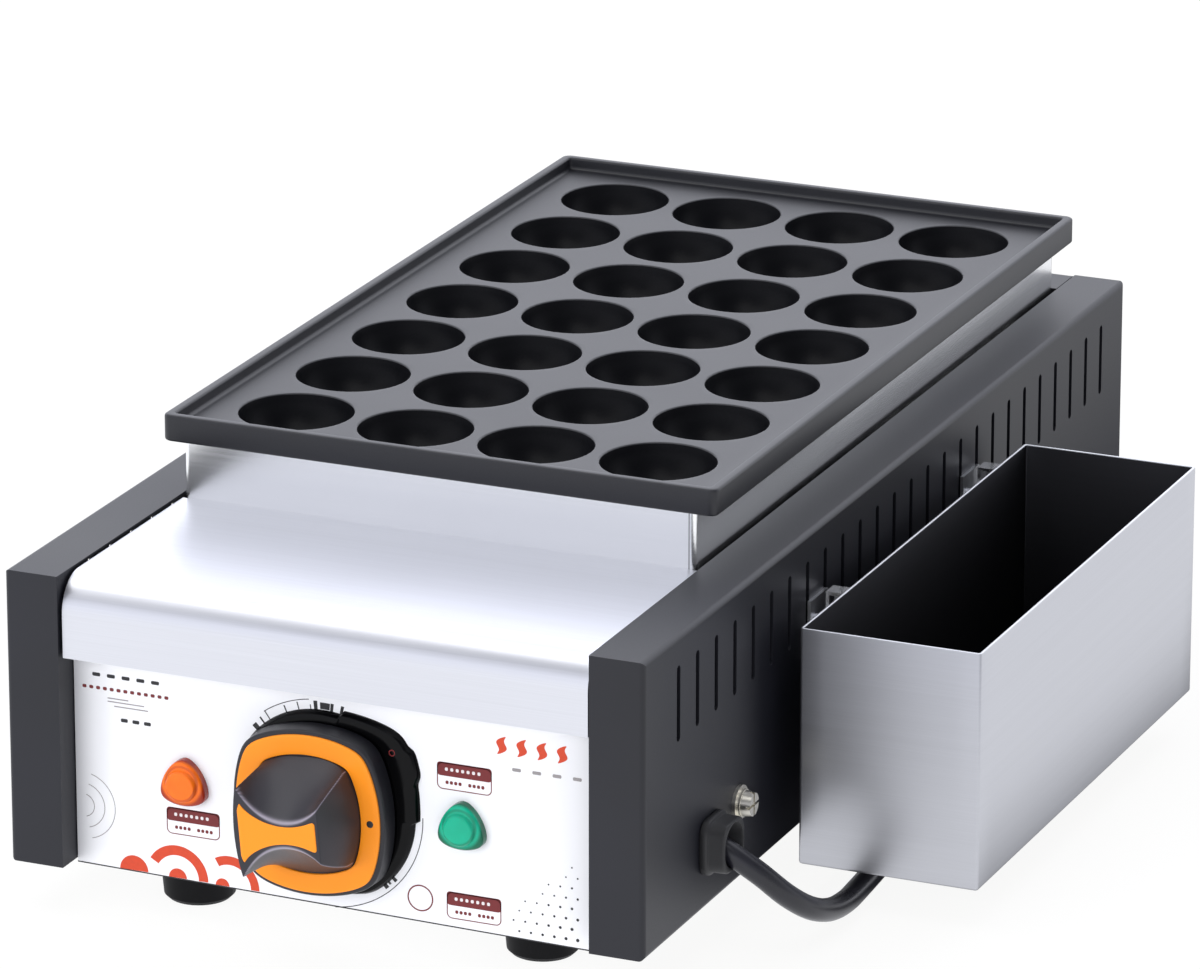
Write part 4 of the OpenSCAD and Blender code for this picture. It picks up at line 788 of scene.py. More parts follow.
class TAKOYAKI_OT_plate(bpy.types.Operator):
    """Make the cast plate with its cups and its raised rim"""

    bl_idname = "takoyaki.plate"
    bl_label = "Cast plate"

    def execute(self, context):
        p = settings("plate")
        half = (PLATE_HIGH - PLATE_LOW) / 2
        deck = PLATE_HIGH[2] - p.rim_height
        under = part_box("riser")[1][2]
        columns = round((2 * half[0] - p.cup_pitch_x) / p.cup_pitch_x)
        rows = round((2 * half[1] - p.cup_pitch_y / 2) / p.cup_pitch_y)
        cells = np.array([[(i - (columns - 1) / 2) * p.cup_pitch_x,
                           (j - (rows - 1) / 2) * p.cup_pitch_y, 0]
                          for i in range(columns) for j in range(rows)]) + MIDDLE
        steps = 12
        cell = rounded_rectangle(p.cup_pitch_x / 2, p.cup_pitch_y / 2, 0, steps, steps, 1)
        top = self.cup_top(p, cell, deck)
        patches = [grid + place for place in cells
                   for grid in (top[:8], self.cup_under(p, cell, deck, under))]
        # The cups take the darker copy of the coating: painted shade.
        patches += [(top[7:] + place, "cup_coating") for place in cells]
        patches.append(self.rim(p, half, deck, under, columns * steps, rows * steps))
        piece("plate_casting", "machine", "nonstick_cast", patches, ["cooking_plate"], sharp=60)
        return {"FINISHED"}

    def ball(self, p):
        """Radius of the sphere a cup is part of, and how far its centre is above the
        deck: (mouth^2 + depth^2) / 2 depth, less depth."""
        ball = (p.cup_radius ** 2 + p.cup_depth ** 2) / (2 * p.cup_depth)
        return ball, ball - p.cup_depth

    def cup_top(self, p, cell, deck):
        """From the cell's square to the mouth's circle, over a rounded edge, and down
        the sphere: rows at (reach, height), where reach blends square into circle."""
        ball, rise = self.ball(p)
        f = p.mouth_round
        reach = np.sqrt((ball + f) ** 2 - (rise + f) ** 2)
        angle = np.arctan2(cell[:, 1], cell[:, 0])
        flat = [cell * (1 - s) + polar(angle, reach) * s for s in (0, 0.4, 0.8, 1)]
        turn_in = np.linspace(np.pi / 2, np.arctan2(rise + f, -reach), 6)[1:]
        lip = [(reach + f * np.cos(a), f * np.sin(a) - f) for a in turn_in]
        start = np.arctan2(lip[-1][0], rise - lip[-1][1])
        bowl = [(ball * np.sin(a), rise - ball * np.cos(a))
                for a in np.linspace(start, 0, 16)[1:]]
        loops = flat + [polar(angle, r) for r, _ in lip + bowl]
        return lathe_loops(loops, [deck] * 4 + [deck + z for _, z in lip + bowl])

    def cup_under(self, p, cell, deck, under):
        """The same cell seen from below: flat to the dome's foot, then the dome, a
        sphere 2.5 mm larger than the cup's."""
        ball, rise = self.ball(p)
        dome = ball + 2.5 * MM
        top = deck + rise
        foot = np.sqrt(dome ** 2 - (top - under) ** 2)
        angle = np.arctan2(cell[:, 1], cell[:, 0])
        start = np.arctan2(foot, top - under)
        rings = [(dome * np.sin(a), top - dome * np.cos(a)) for a in np.linspace(start, 0, 9)]
        loops = [cell] + [polar(angle, r) for r, _ in rings]
        return lathe_loops(loops, [under] + [z for _, z in rings])

    def rim(self, p, half, deck, under, steps_x, steps_y):
        """Deck margin, filleted inner wall, rounded rim and outer wall: each row is
        (inset from the plate's edge, height), its corner rounded to suit."""
        foot, edge, wall = 1.4 * MM, 0.9 * MM, p.rim_thickness
        top = deck + p.rim_height
        rows = [(wall + foot - foot * np.sin(a), deck + foot - foot * np.cos(a))
                for a in np.linspace(0, np.pi / 2, 5)]
        rows += [(wall - edge + edge * np.cos(a), top - edge + edge * np.sin(a))
                 for a in np.linspace(0, np.pi / 2, 5)]
        rows += [(edge - edge * np.sin(a), top - edge + edge * np.cos(a))
                 for a in np.linspace(0, np.pi / 2, 5)]
        rows += [(edge - edge * np.cos(a), under + edge - edge * np.sin(a))
                 for a in np.linspace(0, np.pi / 2, 5)]
        inner = (steps_x // 12 * p.cup_pitch_x / 2, steps_y // 12 * p.cup_pitch_y / 2)
        ends = rounded_rectangle(*inner, 0, steps_x, steps_y)
        loops = [rounded_rectangle(half[0] - inset, half[1] - inset,
                                   max(3 * MM - 0.5 * inset, 1 * MM), steps_x, steps_y)
                 for inset, _ in rows]
        stack = lathe_loops([ends] + loops + [ends], [deck] + [z for _, z in rows] + [under])
        return stack + MIDDLE


# ---- Dial, knob and lamps ----


class TAKOYAKI_OT_dial(bpy.types.Operator):
    """Make the glossy dial plate behind the knob"""

    bl_idname = "takoyaki.dial"
    bl_label = "Dial plate"

    def execute(self, context):
        low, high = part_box("dial_bezel")
        half = (high[2] - low[2]) / 2
        shift = (low[0] + half - KNOB_X, low[2] + half - KNOB_Z)
        depth = PANEL_FRONT - BEZEL_FRONT
        angle = turn(360)

        def outline(inset):
            """Reach from the knob's axis: a bulged square beside it with a lug at its
            upper right, but left of and below the scale a plain circle if less."""
            square = bulged_square(angle, 2 * (half - inset), 2 * (half - inset), 5 * MM,
                                   half + 5.3 * MM - inset, 1.0 * MM)
            points = polar(angle, square) + shift
            reach = np.interp(angle, *self.by_angle(points))
            away = (angle - np.radians(29.5) + np.pi) % (2 * np.pi) - np.pi
            square = reach + 1.7 * MM * np.exp(-(away / np.radians(8.4)) ** 6)
            plain = soft_least([reach, np.full_like(reach, 34.4 * MM - inset)], 0.5 * MM)
            return plain + (square - plain) * between(angle, -2, 78)

        rows = [(0, 0), (0.05 * MM, depth - 2.4 * MM), (1.1 * MM, depth - 0.15 * MM),
                (1.35 * MM, depth), (5 * MM, depth), (14 * MM, depth), (28 * MM, depth)]
        loops = [polar(angle, outline(inset)) for inset, _ in rows]
        heights = [h for _, h in rows]
        loops = [loops[0] * 0] + loops + [loops[0] * 0]
        grid = lathe_loops(loops, [0] + heights + [depth])
        piece("dial_plate", "machine", "black_gloss", [(on_dial(grid, PANEL_FRONT), "dial_gloss")],
              ["dial_bezel"])
        return {"FINISHED"}

    def by_angle(self, points):
        """Angles and reaches of a closed loop, in order and once more on either side."""
        a = np.arctan2(points[:, 1], points[:, 0]) % (2 * np.pi)
        order = np.argsort(a)
        a, r = a[order], np.linalg.norm(points, axis=1)[order]
        return (np.concatenate([a[-9:] - 2 * np.pi, a, a[:9] + 2 * np.pi]),
                np.concatenate([r[-9:], r, r[:9]]))


class TAKOYAKI_OT_knob(bpy.types.Operator):
    """Make the knob: its skirt with the grip, its coloured ring and its insert"""

    bl_idname = "takoyaki.knob"
    bl_label = "Knob"

    def execute(self, context):
        k = settings("knob")
        angle = turn(256)
        self.make_skirt(k, angle)
        self.make_ring(k, angle)
        self.make_grip(k)
        self.make_insert(k)
        return {"FINISHED"}

    def outline(self, k, angle, inset):
        """The skirt's outline stands 2 degrees back from the grip."""
        return bulged_square(angle + np.radians(2), k.width - 2 * inset, k.height - 2 * inset,
                             5 * MM, k.width * 0.58 - inset, 0.7 * MM)

    def foot(self, k, angle, inset=0.0):
        """Outline of the space inside the ring."""
        w = k.width - 2 * k.ring_width - 2 * inset
        h = k.height - 2 * k.ring_width - 2 * inset
        return bulged_square(angle + np.radians(2), w, h, 3.5 * MM, w * 0.6, 0.5 * MM)

    def make_skirt(self, k, angle):
        """Skirt: rows of (inset, height) from its back, up a side that leans in, over a
        rounded edge and across the front."""
        front = k.skirt_depth - 0.5 * MM
        rows = [(4 * MM, 0), (0.5 * MM, 0), (0, 0.5 * MM), (0.25 * MM, front - 1.3 * MM)]
        rows += quarter(0.25 * MM, front, 1.0 * MM, 5, 10)
        rows += [(3 * MM, front), (12 * MM, front)]
        loops = [polar(angle, self.outline(k, angle, inset)) for inset, _ in rows]
        grid = lathe_loops([loops[0] * 0] + loops + [loops[0] * 0],
                           [0] + [h for _, h in rows] + [front])
        piece("knob_skirt", "knob", "black_knob", [on_knob(grid)], ["knob_body"])

    def make_ring(self, k, angle):
        """Ring: its section is a rounded rectangle 1.6 mm deep, carried from the outer
        outline to the inner one, with a dark dot at the pointer's side."""
        outer = self.outline(k, angle, 1.7 * MM)
        inner = self.foot(k, angle)
        low, high, r = k.skirt_depth - 1.2 * MM, k.skirt_depth + 0.4 * MM, 0.45 * MM
        section = [(0, low)] + [(i, h) for i, h in quarter(0, high, r, 4)]
        width = outer - inner
        reach = [outer - i for i, _ in section]
        reach += [outer - width * s for s in (0.3, 0.5, 0.7)]
        heights = [h for _, h in section] + [high] * 3
        for i, h in reversed(section):
            reach.append(inner + i)
            heights.append(h)
        reach.append(reach[0])
        heights.append(heights[0])
        grid = lathe_loops([polar(angle, r) for r in reach], heights)
        piece("knob_coloured_ring", "knob", "orange_plastic", [on_knob(grid)], ["knob_ring"])
        a = turn(24)
        dot = [(0, 0), (1.25, 0), (1.25, 0.28), (1.05, 0.36), (0.6, 0.38), (0, 0.38)]
        grid = lathe_loops([polar(a, np.full(24, r * MM)) for r, _ in dot],
                           [high - 0.25 * MM + h * MM for _, h in dot])
        dot_turn = np.radians(-5)
        away = k.width / 2 - k.ring_width * 0.59
        grid[..., 0] += away * np.cos(dot_turn)
        grid[..., 1] += away * np.sin(dot_turn)
        piece("knob_pointer_dot", "knob", "black_knob", [on_knob(grid)])

    def rim(self, k, u):
        """Half height of the grip's top: a waist that opens along bow = d^2 / 2R +
        d^4 / 8R^3, with R = 16.5 mm and d the distance from the waist."""
        d, r = u - 2.0 * MM, 16.5 * MM
        return k.grip_waist / 2 + d ** 2 / (2 * r) + d ** 4 / (8 * r ** 3)

    def grip_faces(self, k, u, v, angle, share):
        """Heights of the five faces of the grip over the ring, each 0 at the foot and
        the grip's height at its top edge: two scoops, the ends, and the flat top."""
        w = k.width / 2 - k.ring_width
        h = k.height / 2 - k.ring_width
        top, side = 37.6 * MM, 41.7 * MM
        foot_v = h - top + np.sqrt(top ** 2 - u ** 2)
        foot_u = w - side + np.sqrt(side ** 2 - np.minimum(np.abs(v), side) ** 2)
        rim = np.minimum(self.rim(k, u), foot_v - 1.2 * MM)
        scoop = np.maximum((foot_v - np.abs(v)) / (foot_v - rim), 0) ** 1.12
        left = k.grip_left - 7 * v ** 2
        ends = [(foot_u - u) / (foot_u - k.grip_right), (foot_u + u) / (foot_u - left)]
        edge = (1 - share) * self.foot(k, angle, 0.15 * MM) * 22
        return [k.grip_height * f for f in (scoop, *ends, np.ones_like(u))] + [edge]

    def make_grip(self, k):
        """Grip as a height over a polar grid, the soft least of its faces. An attribute
        marks where the scoops meet the other faces, for the painted highlight along the rim."""
        angle = turn(520)
        share = 1 - np.linspace(0, 1, 176) ** 1.35
        a, s = np.meshgrid(angle, share)
        reach = s * self.foot(k, angle, 0.15 * MM)
        u, v = reach * np.cos(a), reach * np.sin(a)
        faces = self.grip_faces(k, u, v, a, s)
        up = np.maximum(soft_least(faces, 0.22 * MM), 0)
        grid = np.stack([u, v, k.skirt_depth - 0.2 * MM + up], -1)
        sunk = grid[:1] * [1, 1, 0] + [0, 0, k.skirt_depth - 2 * MM]
        grid = np.concatenate([sunk * [0, 0, 1], sunk, grid])
        # rim marks the band along the scoops' edges where the painted highlight goes.
        gap = np.abs(faces[0] - np.min(faces[1:4], axis=0)) / (0.9 * MM)
        rim = np.where(up > 1.2 * MM, np.exp(-gap ** 2), 0)
        rim = np.concatenate([rim[:2] * 0, rim])
        made = piece("knob_grip", "knob", "knob_grip", [on_knob(grid)], sharp=75,
                     mark=("rim", [rim]))

    def make_insert(self, k):
        """Insert on the grip's top: half as high as 3.1 mm + R - sqrt(R^2 - d^2), with
        R = 23.5 mm, and rows of (inset, height) that round its edge."""
        top = k.skirt_depth - 0.2 * MM + k.grip_height
        r, x0, x1 = 23.5 * MM, -16.2 * MM, 13.4 * MM
        x = (1 - np.cos(np.linspace(0, np.pi, 61))) / 2
        rows = [(0, -0.3), (0, 0.10), (0.07, 0.20), (0.2, 0.27), (0.5, 0.30)]
        grids = []
        for inset, height in rows:
            u = x0 + inset * MM + x * (x1 - x0 - 2 * inset * MM)
            d = u - 2.3 * MM
            reach = 3.1 * MM - inset * MM + r - np.sqrt(r * r - d * d)
            # rounded corners at the two ends, and a slightly bowed left side
            reach *= (1 - 0.35 * np.exp(-(u - x0) / (0.5 * MM))
                      - 0.25 * np.exp(-(x1 - u) / (0.5 * MM)))
            upper = np.stack([u, reach], -1)
            lean = np.stack([16 * upper[:, 1] ** 2 * np.exp(-(u - x0) / (2 * MM)), 0 * u], -1)
            loop = np.concatenate([upper + lean, ((upper + lean) * [1, -1])[::-1]])
            grids.append(np.column_stack([loop, np.full(len(loop), top + height * MM)]))
        spine = np.concatenate([grids[-1][:61], grids[-1][:61][::-1]]) * [1, 0, 1]
        grid = np.stack([grids[0] * [1, 0, 1]] + grids + [spine])
        piece("knob_top_insert", "knob", "orange_plastic", [on_knob(grid)], ["knob_insert"])


class TAKOYAKI_OT_lamps(bpy.types.Operator):
    """Make the two indicator lenses"""

    bl_idname = "takoyaki.lamps"
    bl_label = "Indicator lamps"

    def execute(self, context):
        """Rounded triangle that steps up to a round boss with a shallow dome: its reach
        is the soft least of three large circles, and then a circle."""
        angle = turn(96)
        for node, name in (("lamp_lens_orange", "orange_lens"), ("lamp_lens_green", "green_lens")):
            low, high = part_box(node)
            half = (high[0] - low[0]) / 2
            depth = PANEL_FRONT - low[1]
            lens, corner = depth - 1.8 * MM, 4.9 * MM
            big = 2.0 * half

            def triangle(inset):
                away = [np.radians(t) for t in (90, 210, 330)]
                far = (half - corner) / np.cos(np.pi / 6)
                flats = [circle_reach(angle, np.cos(t) * (big - half * 0.83),
                                      np.sin(t) * (big - half * 0.83), big - inset)
                         for t in away]
                return soft_least(flats + [np.full_like(angle, far + corner - inset)], 0.8 * MM)

            boss = np.full_like(angle, 5.6 * MM)
            rows = [(triangle(0) * 0, 0), (triangle(0), 0), (triangle(0), lens - 1.7 * MM)]
            rows += [(triangle(i), h) for i, h in quarter(0, lens, 1.5 * MM, 6, 10)]
            rows += [(boss * 1.14, lens - 0.05 * MM), (boss * 1.04, lens + 0.1 * MM),
                     (boss, lens + 0.5 * MM), (boss * 0.97, depth - 0.5 * MM),
                     (boss * 0.91, depth - 0.12 * MM), (boss * 0.8, depth), (boss * 0, depth)]
            grid = lathe_loops([polar(angle, r) for r, _ in rows], [h for _, h in rows])
            piece(node + "_cap", "machine", name,
                  [on_dial(grid, PANEL_FRONT, (low[0] + high[0]) / 2)], [node])
        return {"FINISHED"}


# ---- Printing ----


class TAKOYAKI_OT_printing(bpy.types.Operator):
    """Print the dial's scale, the label frames and the plain shapes on the panel"""

    bl_idname = "takoyaki.printing"
    bl_label = "Panel printing"

    def execute(self, context):
        """Marks are flat loops on the printed sheet, in millimetres right of and above
        the knob's axis, each raised by 0.05 mm or, on a label's dark half, by 0.08 mm."""
        marks = {"ink_black": self.scale() + self.dots(), "ink_red": [], "ink_white": [],
                 "ink_orange": self.hills(), "ink_grey": []}
        for x, z in ((-49.6, -14.6), (52.3, 17.2), (55.6, -29.2)):
            marks["ink_red"] += [self.frame(x, z, 20.2, 9.6, 2.0, 0.35),
                                 self.bar(x, z + 2.5, 20.2, 4.9, 1.2)]
            marks["ink_red"] += [self.bar(x + u, z - 2.2, 1.1, 1.2, 0.4)
                                 for u in (-6.4, -4.8, -3.2, -1.6, 2, 3.6, 5.2, 6.8)]
            marks["ink_white"] += [self.bar(x + u, z + 2.5, 1.1, 1.2, 0.4, 0.08)
                                   for u in (-6.6, -4.6, -2.6, -0.6, 1.4, 3.4, 5.4)]
        marks["ink_red"] += [self.ring(35.7, -28.4, 4.3, 4.8)]
        marks["ink_red"] += [self.bar(-90.2 + 2.6 * i, 29.8, 1.5, 1.2, 0.4) for i in range(13)]
        marks["ink_black"] += [self.bar(-85.6 + 5.6 * i, 34.6, 3.0, 1.3, 0.4) for i in range(5)]
        marks["ink_black"] += [self.bar(-75.2 + 4.4 * i, 19.2, 2.6, 1.3, 0.4) for i in range(3)]
        marks["ink_grey"] += [self.bar(x, z, w, 0.4, 0.2) for x, z, w in
                              ((-77.5, 26.6, 8), (-74.5, 25.4, 14), (-72.5, 23.9, 13))]
        marks["ink_grey"] += [self.bar(71.5 + 7.4 * i, 23.2, 3.2, 1.2, 0.4) for i in range(4)]
        for r in (4, 8, 12):
            marks["ink_grey"].append(self.band(r, r + 0.28, -75, 75, -91.5, -14, 32))
        for i in range(4):
            marks["ink_orange"].append(self.wave(66 + 7.4 * i, 31.2, 6.6, 3.2))
        self.make_sheet()
        for finish, patches in marks.items():
            piece("panel_" + finish, "machine", finish, [on_dial(p, SHEET_FRONT) for p in patches])
        red = self.ring(26.6, 23.4, 0.8, 1.2)
        piece("dial_mark", "machine", "ink_red", [on_dial(red, BEZEL_FRONT)])
        return {"FINISHED"}

    def edge(self, x):
        """Height of the white sheet's lower edge, which falls a little to the right."""
        return 16.7 - 0.0125 * (x + 100) - KNOB_Z / MM

    def make_sheet(self):
        """White printed sheet on the panel: its outline, walked in straight steps, then
        the same drawn in towards its middle."""
        low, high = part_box("control_panel")
        x0, x1 = ((v - KNOB_X) / MM for v in (low[0], high[0]))
        top = (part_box("top_cover")[0][2] - KNOB_Z) / MM - 0.1
        corners = np.array([(x0, self.edge(x0)), (x1, self.edge(x1)), (x1, top), (x0, top)])
        ahead = np.roll(corners, -1, axis=0)
        share = (np.arange(24) / 24)[None, :, None]
        loop = (corners[:, None] * (1 - share) + ahead[:, None] * share).reshape(-1, 2)
        middle = corners.mean(axis=0)
        loops = [middle + (loop - middle) * k for k in (0, 1, 1, 0.999, 0.7, 0.3, 0)]
        t = SHEET_T / MM
        grid = lathe_loops(loops, [0, 0, t - 0.08, t, t, t, t]) * MM
        piece("panel_sheet", "machine", "panel_white", [on_dial(grid, PANEL_FRONT)])
        line = np.stack([np.linspace(x0, x1, 25), self.edge(np.linspace(x0, x1, 25))], -1)
        slab = self.raised(np.concatenate([line, (line + [0, 0.45])[::-1]]) * MM,
                           np.concatenate([line + [0, 0.2], (line + [0, 0.2])[::-1]]) * MM)
        piece("panel_edge", "machine", "ink_black", [on_dial(slab, SHEET_FRONT)])

    def scale(self):
        """Scale around the dial: two thin arcs, and ticks as (angle, half width in
        degrees, inner and outer radius)."""
        ticks = ((135.5, 1.5, 33.4, 36.3), (130.0, 0.5, 32.6, 36.8), (125.5, 0.3, 34.2, 37.6),
                 (113.4, 0.4, 34.2, 36.8), (105.2, 0.35, 34.2, 37.0), (97.6, 0.3, 34.2, 35.8),
                 (94.4, 1.1, 34.2, 37.2), (88.8, 2.9, 34.4, 36.8), (84.6, 0.9, 34.2, 37.0),
                 (78.6, 0.9, 34.0, 37.2), (-41.5, 1.1, 33.2, 35.8), (-45.5, 0.7, 32.6, 35.2),
                 (-48.6, 1.3, 32.4, 35.6))
        arcs = [self.band(36.7, 37.0, -84, 1), self.band(37.5, 37.8, 98, 126)]
        return arcs + [self.band(r0, r1, t - w, t + w, steps=8) for t, w, r0, r1 in ticks]

    def hills(self):
        """Half-round hills and arches along the panel's lower edge."""
        solid = [self.band(0, r, 0, 180, x, self.edge(x) + 0.5, 36)
                 for x, r in ((-72.5, 5.4), (-55.8, 3.4), (-38.8, 2.6))]
        arches = [self.band(r, r + w, 0, a, x, self.edge(x) + 0.5, 36)
                  for x, r, w, a in ((-56.0, 8.2, 3.6, 150), (-36.0, 8.0, 3.2, 120))]
        return solid + arches

    def dots(self):
        """Triangular lattice of small dots that shrink towards the panel's middle."""
        spots = [(93.8 - 4.3 * c - 2.1 * (r % 2), -34.6 + 3.7 * r, 0.62 - 0.045 * (c + r))
                 for r in range(8) for c in range(6) if c + r < 8]
        return [self.bar(x, z, 2 * size, 2 * size, size) for x, z, size in spots]

    def raised(self, loop, inner, high=0.05):
        """Low slab from the panel up an outer loop and in to an inner one."""
        return lathe_loops([loop, loop, inner], [0, high * MM, high * MM])

    def band(self, r0, r1, a0, a1, x=0.0, z=0.0, steps=48):
        """Part of a ring from angle a0 to a1, as a loop out and back, about its middle
        arc."""
        a = np.radians(np.linspace(a0, a1, steps))
        outer, inner = polar(a, r1), polar(a, r0)
        loop = np.concatenate([outer, inner[::-1]])
        spine = np.concatenate([polar(a, (r0 + r1) / 2)] * 2)
        spine[steps:] = spine[steps:][::-1]
        return self.raised((loop + [x, z]) * MM, (spine + [x, z]) * MM)

    def ring(self, x, z, r0, r1):
        a = turn(48)
        return self.raised((polar(a, r1) + [x, z]) * MM, (polar(a, r0) + [x, z]) * MM)

    def frame(self, x, z, w, h, r, line):
        outer = rounded_rectangle(w / 2, h / 2, r)
        inner = rounded_rectangle(w / 2 - line, h / 2 - line, r - line)
        return self.raised((outer + [x, z]) * MM, (inner + [x, z]) * MM)

    def bar(self, x, z, w, h, r, high=0.05):
        loop = rounded_rectangle(w / 2, h / 2, r, arc=3)
        return self.raised((loop + [x, z]) * MM, (loop * 0 + [x, z]) * MM, high)

    def wave(self, x, z, height, width):
        """Slanting S curve: x = 1.1 sin(2 pi t) + 3 (t - 0.5), thick in the middle and
        thin at its ends."""
        t = np.linspace(0, 1, 25)
        line = np.stack([1.1 * np.sin(2 * np.pi * t) + 3 * (t - 0.5), (t - 0.5) * height], -1)
        half = np.stack([width / 2 * np.sin(np.pi * t) ** 0.6, 0 * t], -1)
        loop = np.concatenate([line + half, (line - half)[::-1]])
        spine = np.concatenate([line, line[::-1]])
        return self.raised((loop + [x, z]) * MM, (spine + [x, z]) * MM)


# ---- Side box ----


class TAKOYAKI_OT_side_box(bpy.types.Operator):
    """Make the open side box of folded sheet"""

    bl_idname = "takoyaki.side_box"
    bl_label = "Side box"

    def execute(self, context):
        """Shell of rounded rectangles: up the outside, over a rounded rim and down the
        inside. Each row is (inset, height); each of the three runs of rows has its finish."""
        low, high = (np.array(c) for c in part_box("box_shell"))
        half = (high - low) / 2
        t, r = 1 * MM, 1.1 * MM
        out = [(half[0], low[2]), (r, low[2])]
        out += [(r - r * np.sin(a), low[2] + r - r * np.cos(a))
                for a in np.linspace(0, np.pi / 2, 5)[1:]]
        out += [(0, high[2] - 0.35 * MM)]
        rim = [(0, high[2] - 0.35 * MM), (0.1 * MM, high[2] - 0.1 * MM), (0.35 * MM, high[2]),
               (t - 0.35 * MM, high[2]), (t - 0.1 * MM, high[2] - 0.1 * MM),
               (t, high[2] - 0.35 * MM)]
        inside = [(t, high[2] - 0.35 * MM), (t, low[2] + t + 0.6 * MM),
                  (t + 0.6 * MM, low[2] + t), (half[0], low[2] + t)]

        def rows(pairs):
            loops = []
            for inset, _ in pairs:
                shut = inset >= half[0]
                w, l = (0, 0) if shut else (half[0] - inset, half[1] - inset)
                loops.append(rounded_rectangle(w, l, 0 if shut else max(r - inset * 0.5, 0.5 * MM),
                                               8, 20, 5))
            stack = lathe_loops(loops, [z for _, z in pairs])
            return stack + [(low[0] + high[0]) / 2, (low[1] + high[1]) / 2, 0]

        # The outside's darker steel and the inside's near-black steel are painted shade.
        piece("box_folded", "side_box", "stainless",
              [(rows(out), "box_steel"), (rows(rim), "zinc"), (rows(inside), "box_inside")],
              ["box_shell"])
        return {"FINISHED"}


# ---- Finishes of the nodes that keep their shape ----


def dress(nodes, finish=None):
    """Gives CAD nodes the finish of their slot, or another."""
    for name in nodes:
        mesh = NODES[name].data
        mesh.materials.clear()
        mesh.materials.append(finishes()[finish or SLOTS[name]].material)


class TAKOYAKI_OT_case(bpy.types.Operator):
    """Give the case, the riser, the cover, the feet and the screws their finishes"""

    bl_idname = "takoyaki.case"
    bl_label = "Case finishes"

    def execute(self, context):
        dress(["side_panel_left", "side_panel_right", "rear_panel", "base_plate", "riser",
               "cross_rails", "foot_screws", "case_screws", "hanger_brackets",
               "hanger_screws", "box_hooks", "cord_tie", "plug_pins", "control_panel"])
        # The cover takes the darker copy of the steel: painted shade.
        dress(["top_cover"], "cover_steel")
        dress(["feet"], "foot_rubber")
        dress(["earth_bolt", "earth_washers"], "bolt_metal")
        return {"FINISHED"}


class TAKOYAKI_OT_insides(bpy.types.Operator):
    """Give the heaters, the thermostat, the wiring and what holds them their finishes"""

    bl_idname = "takoyaki.insides"
    bl_label = "Inside finishes"

    def execute(self, context):
        shown = [n for n in NODES if not NODES[n].hide_render and not self.dressed(n)]
        dress(shown)
        return {"FINISHED"}

    def dressed(self, name):
        made = {f.material for f in finishes().values()}
        return any(m in made for m in NODES[name].data.materials)


# ---- Stage ----


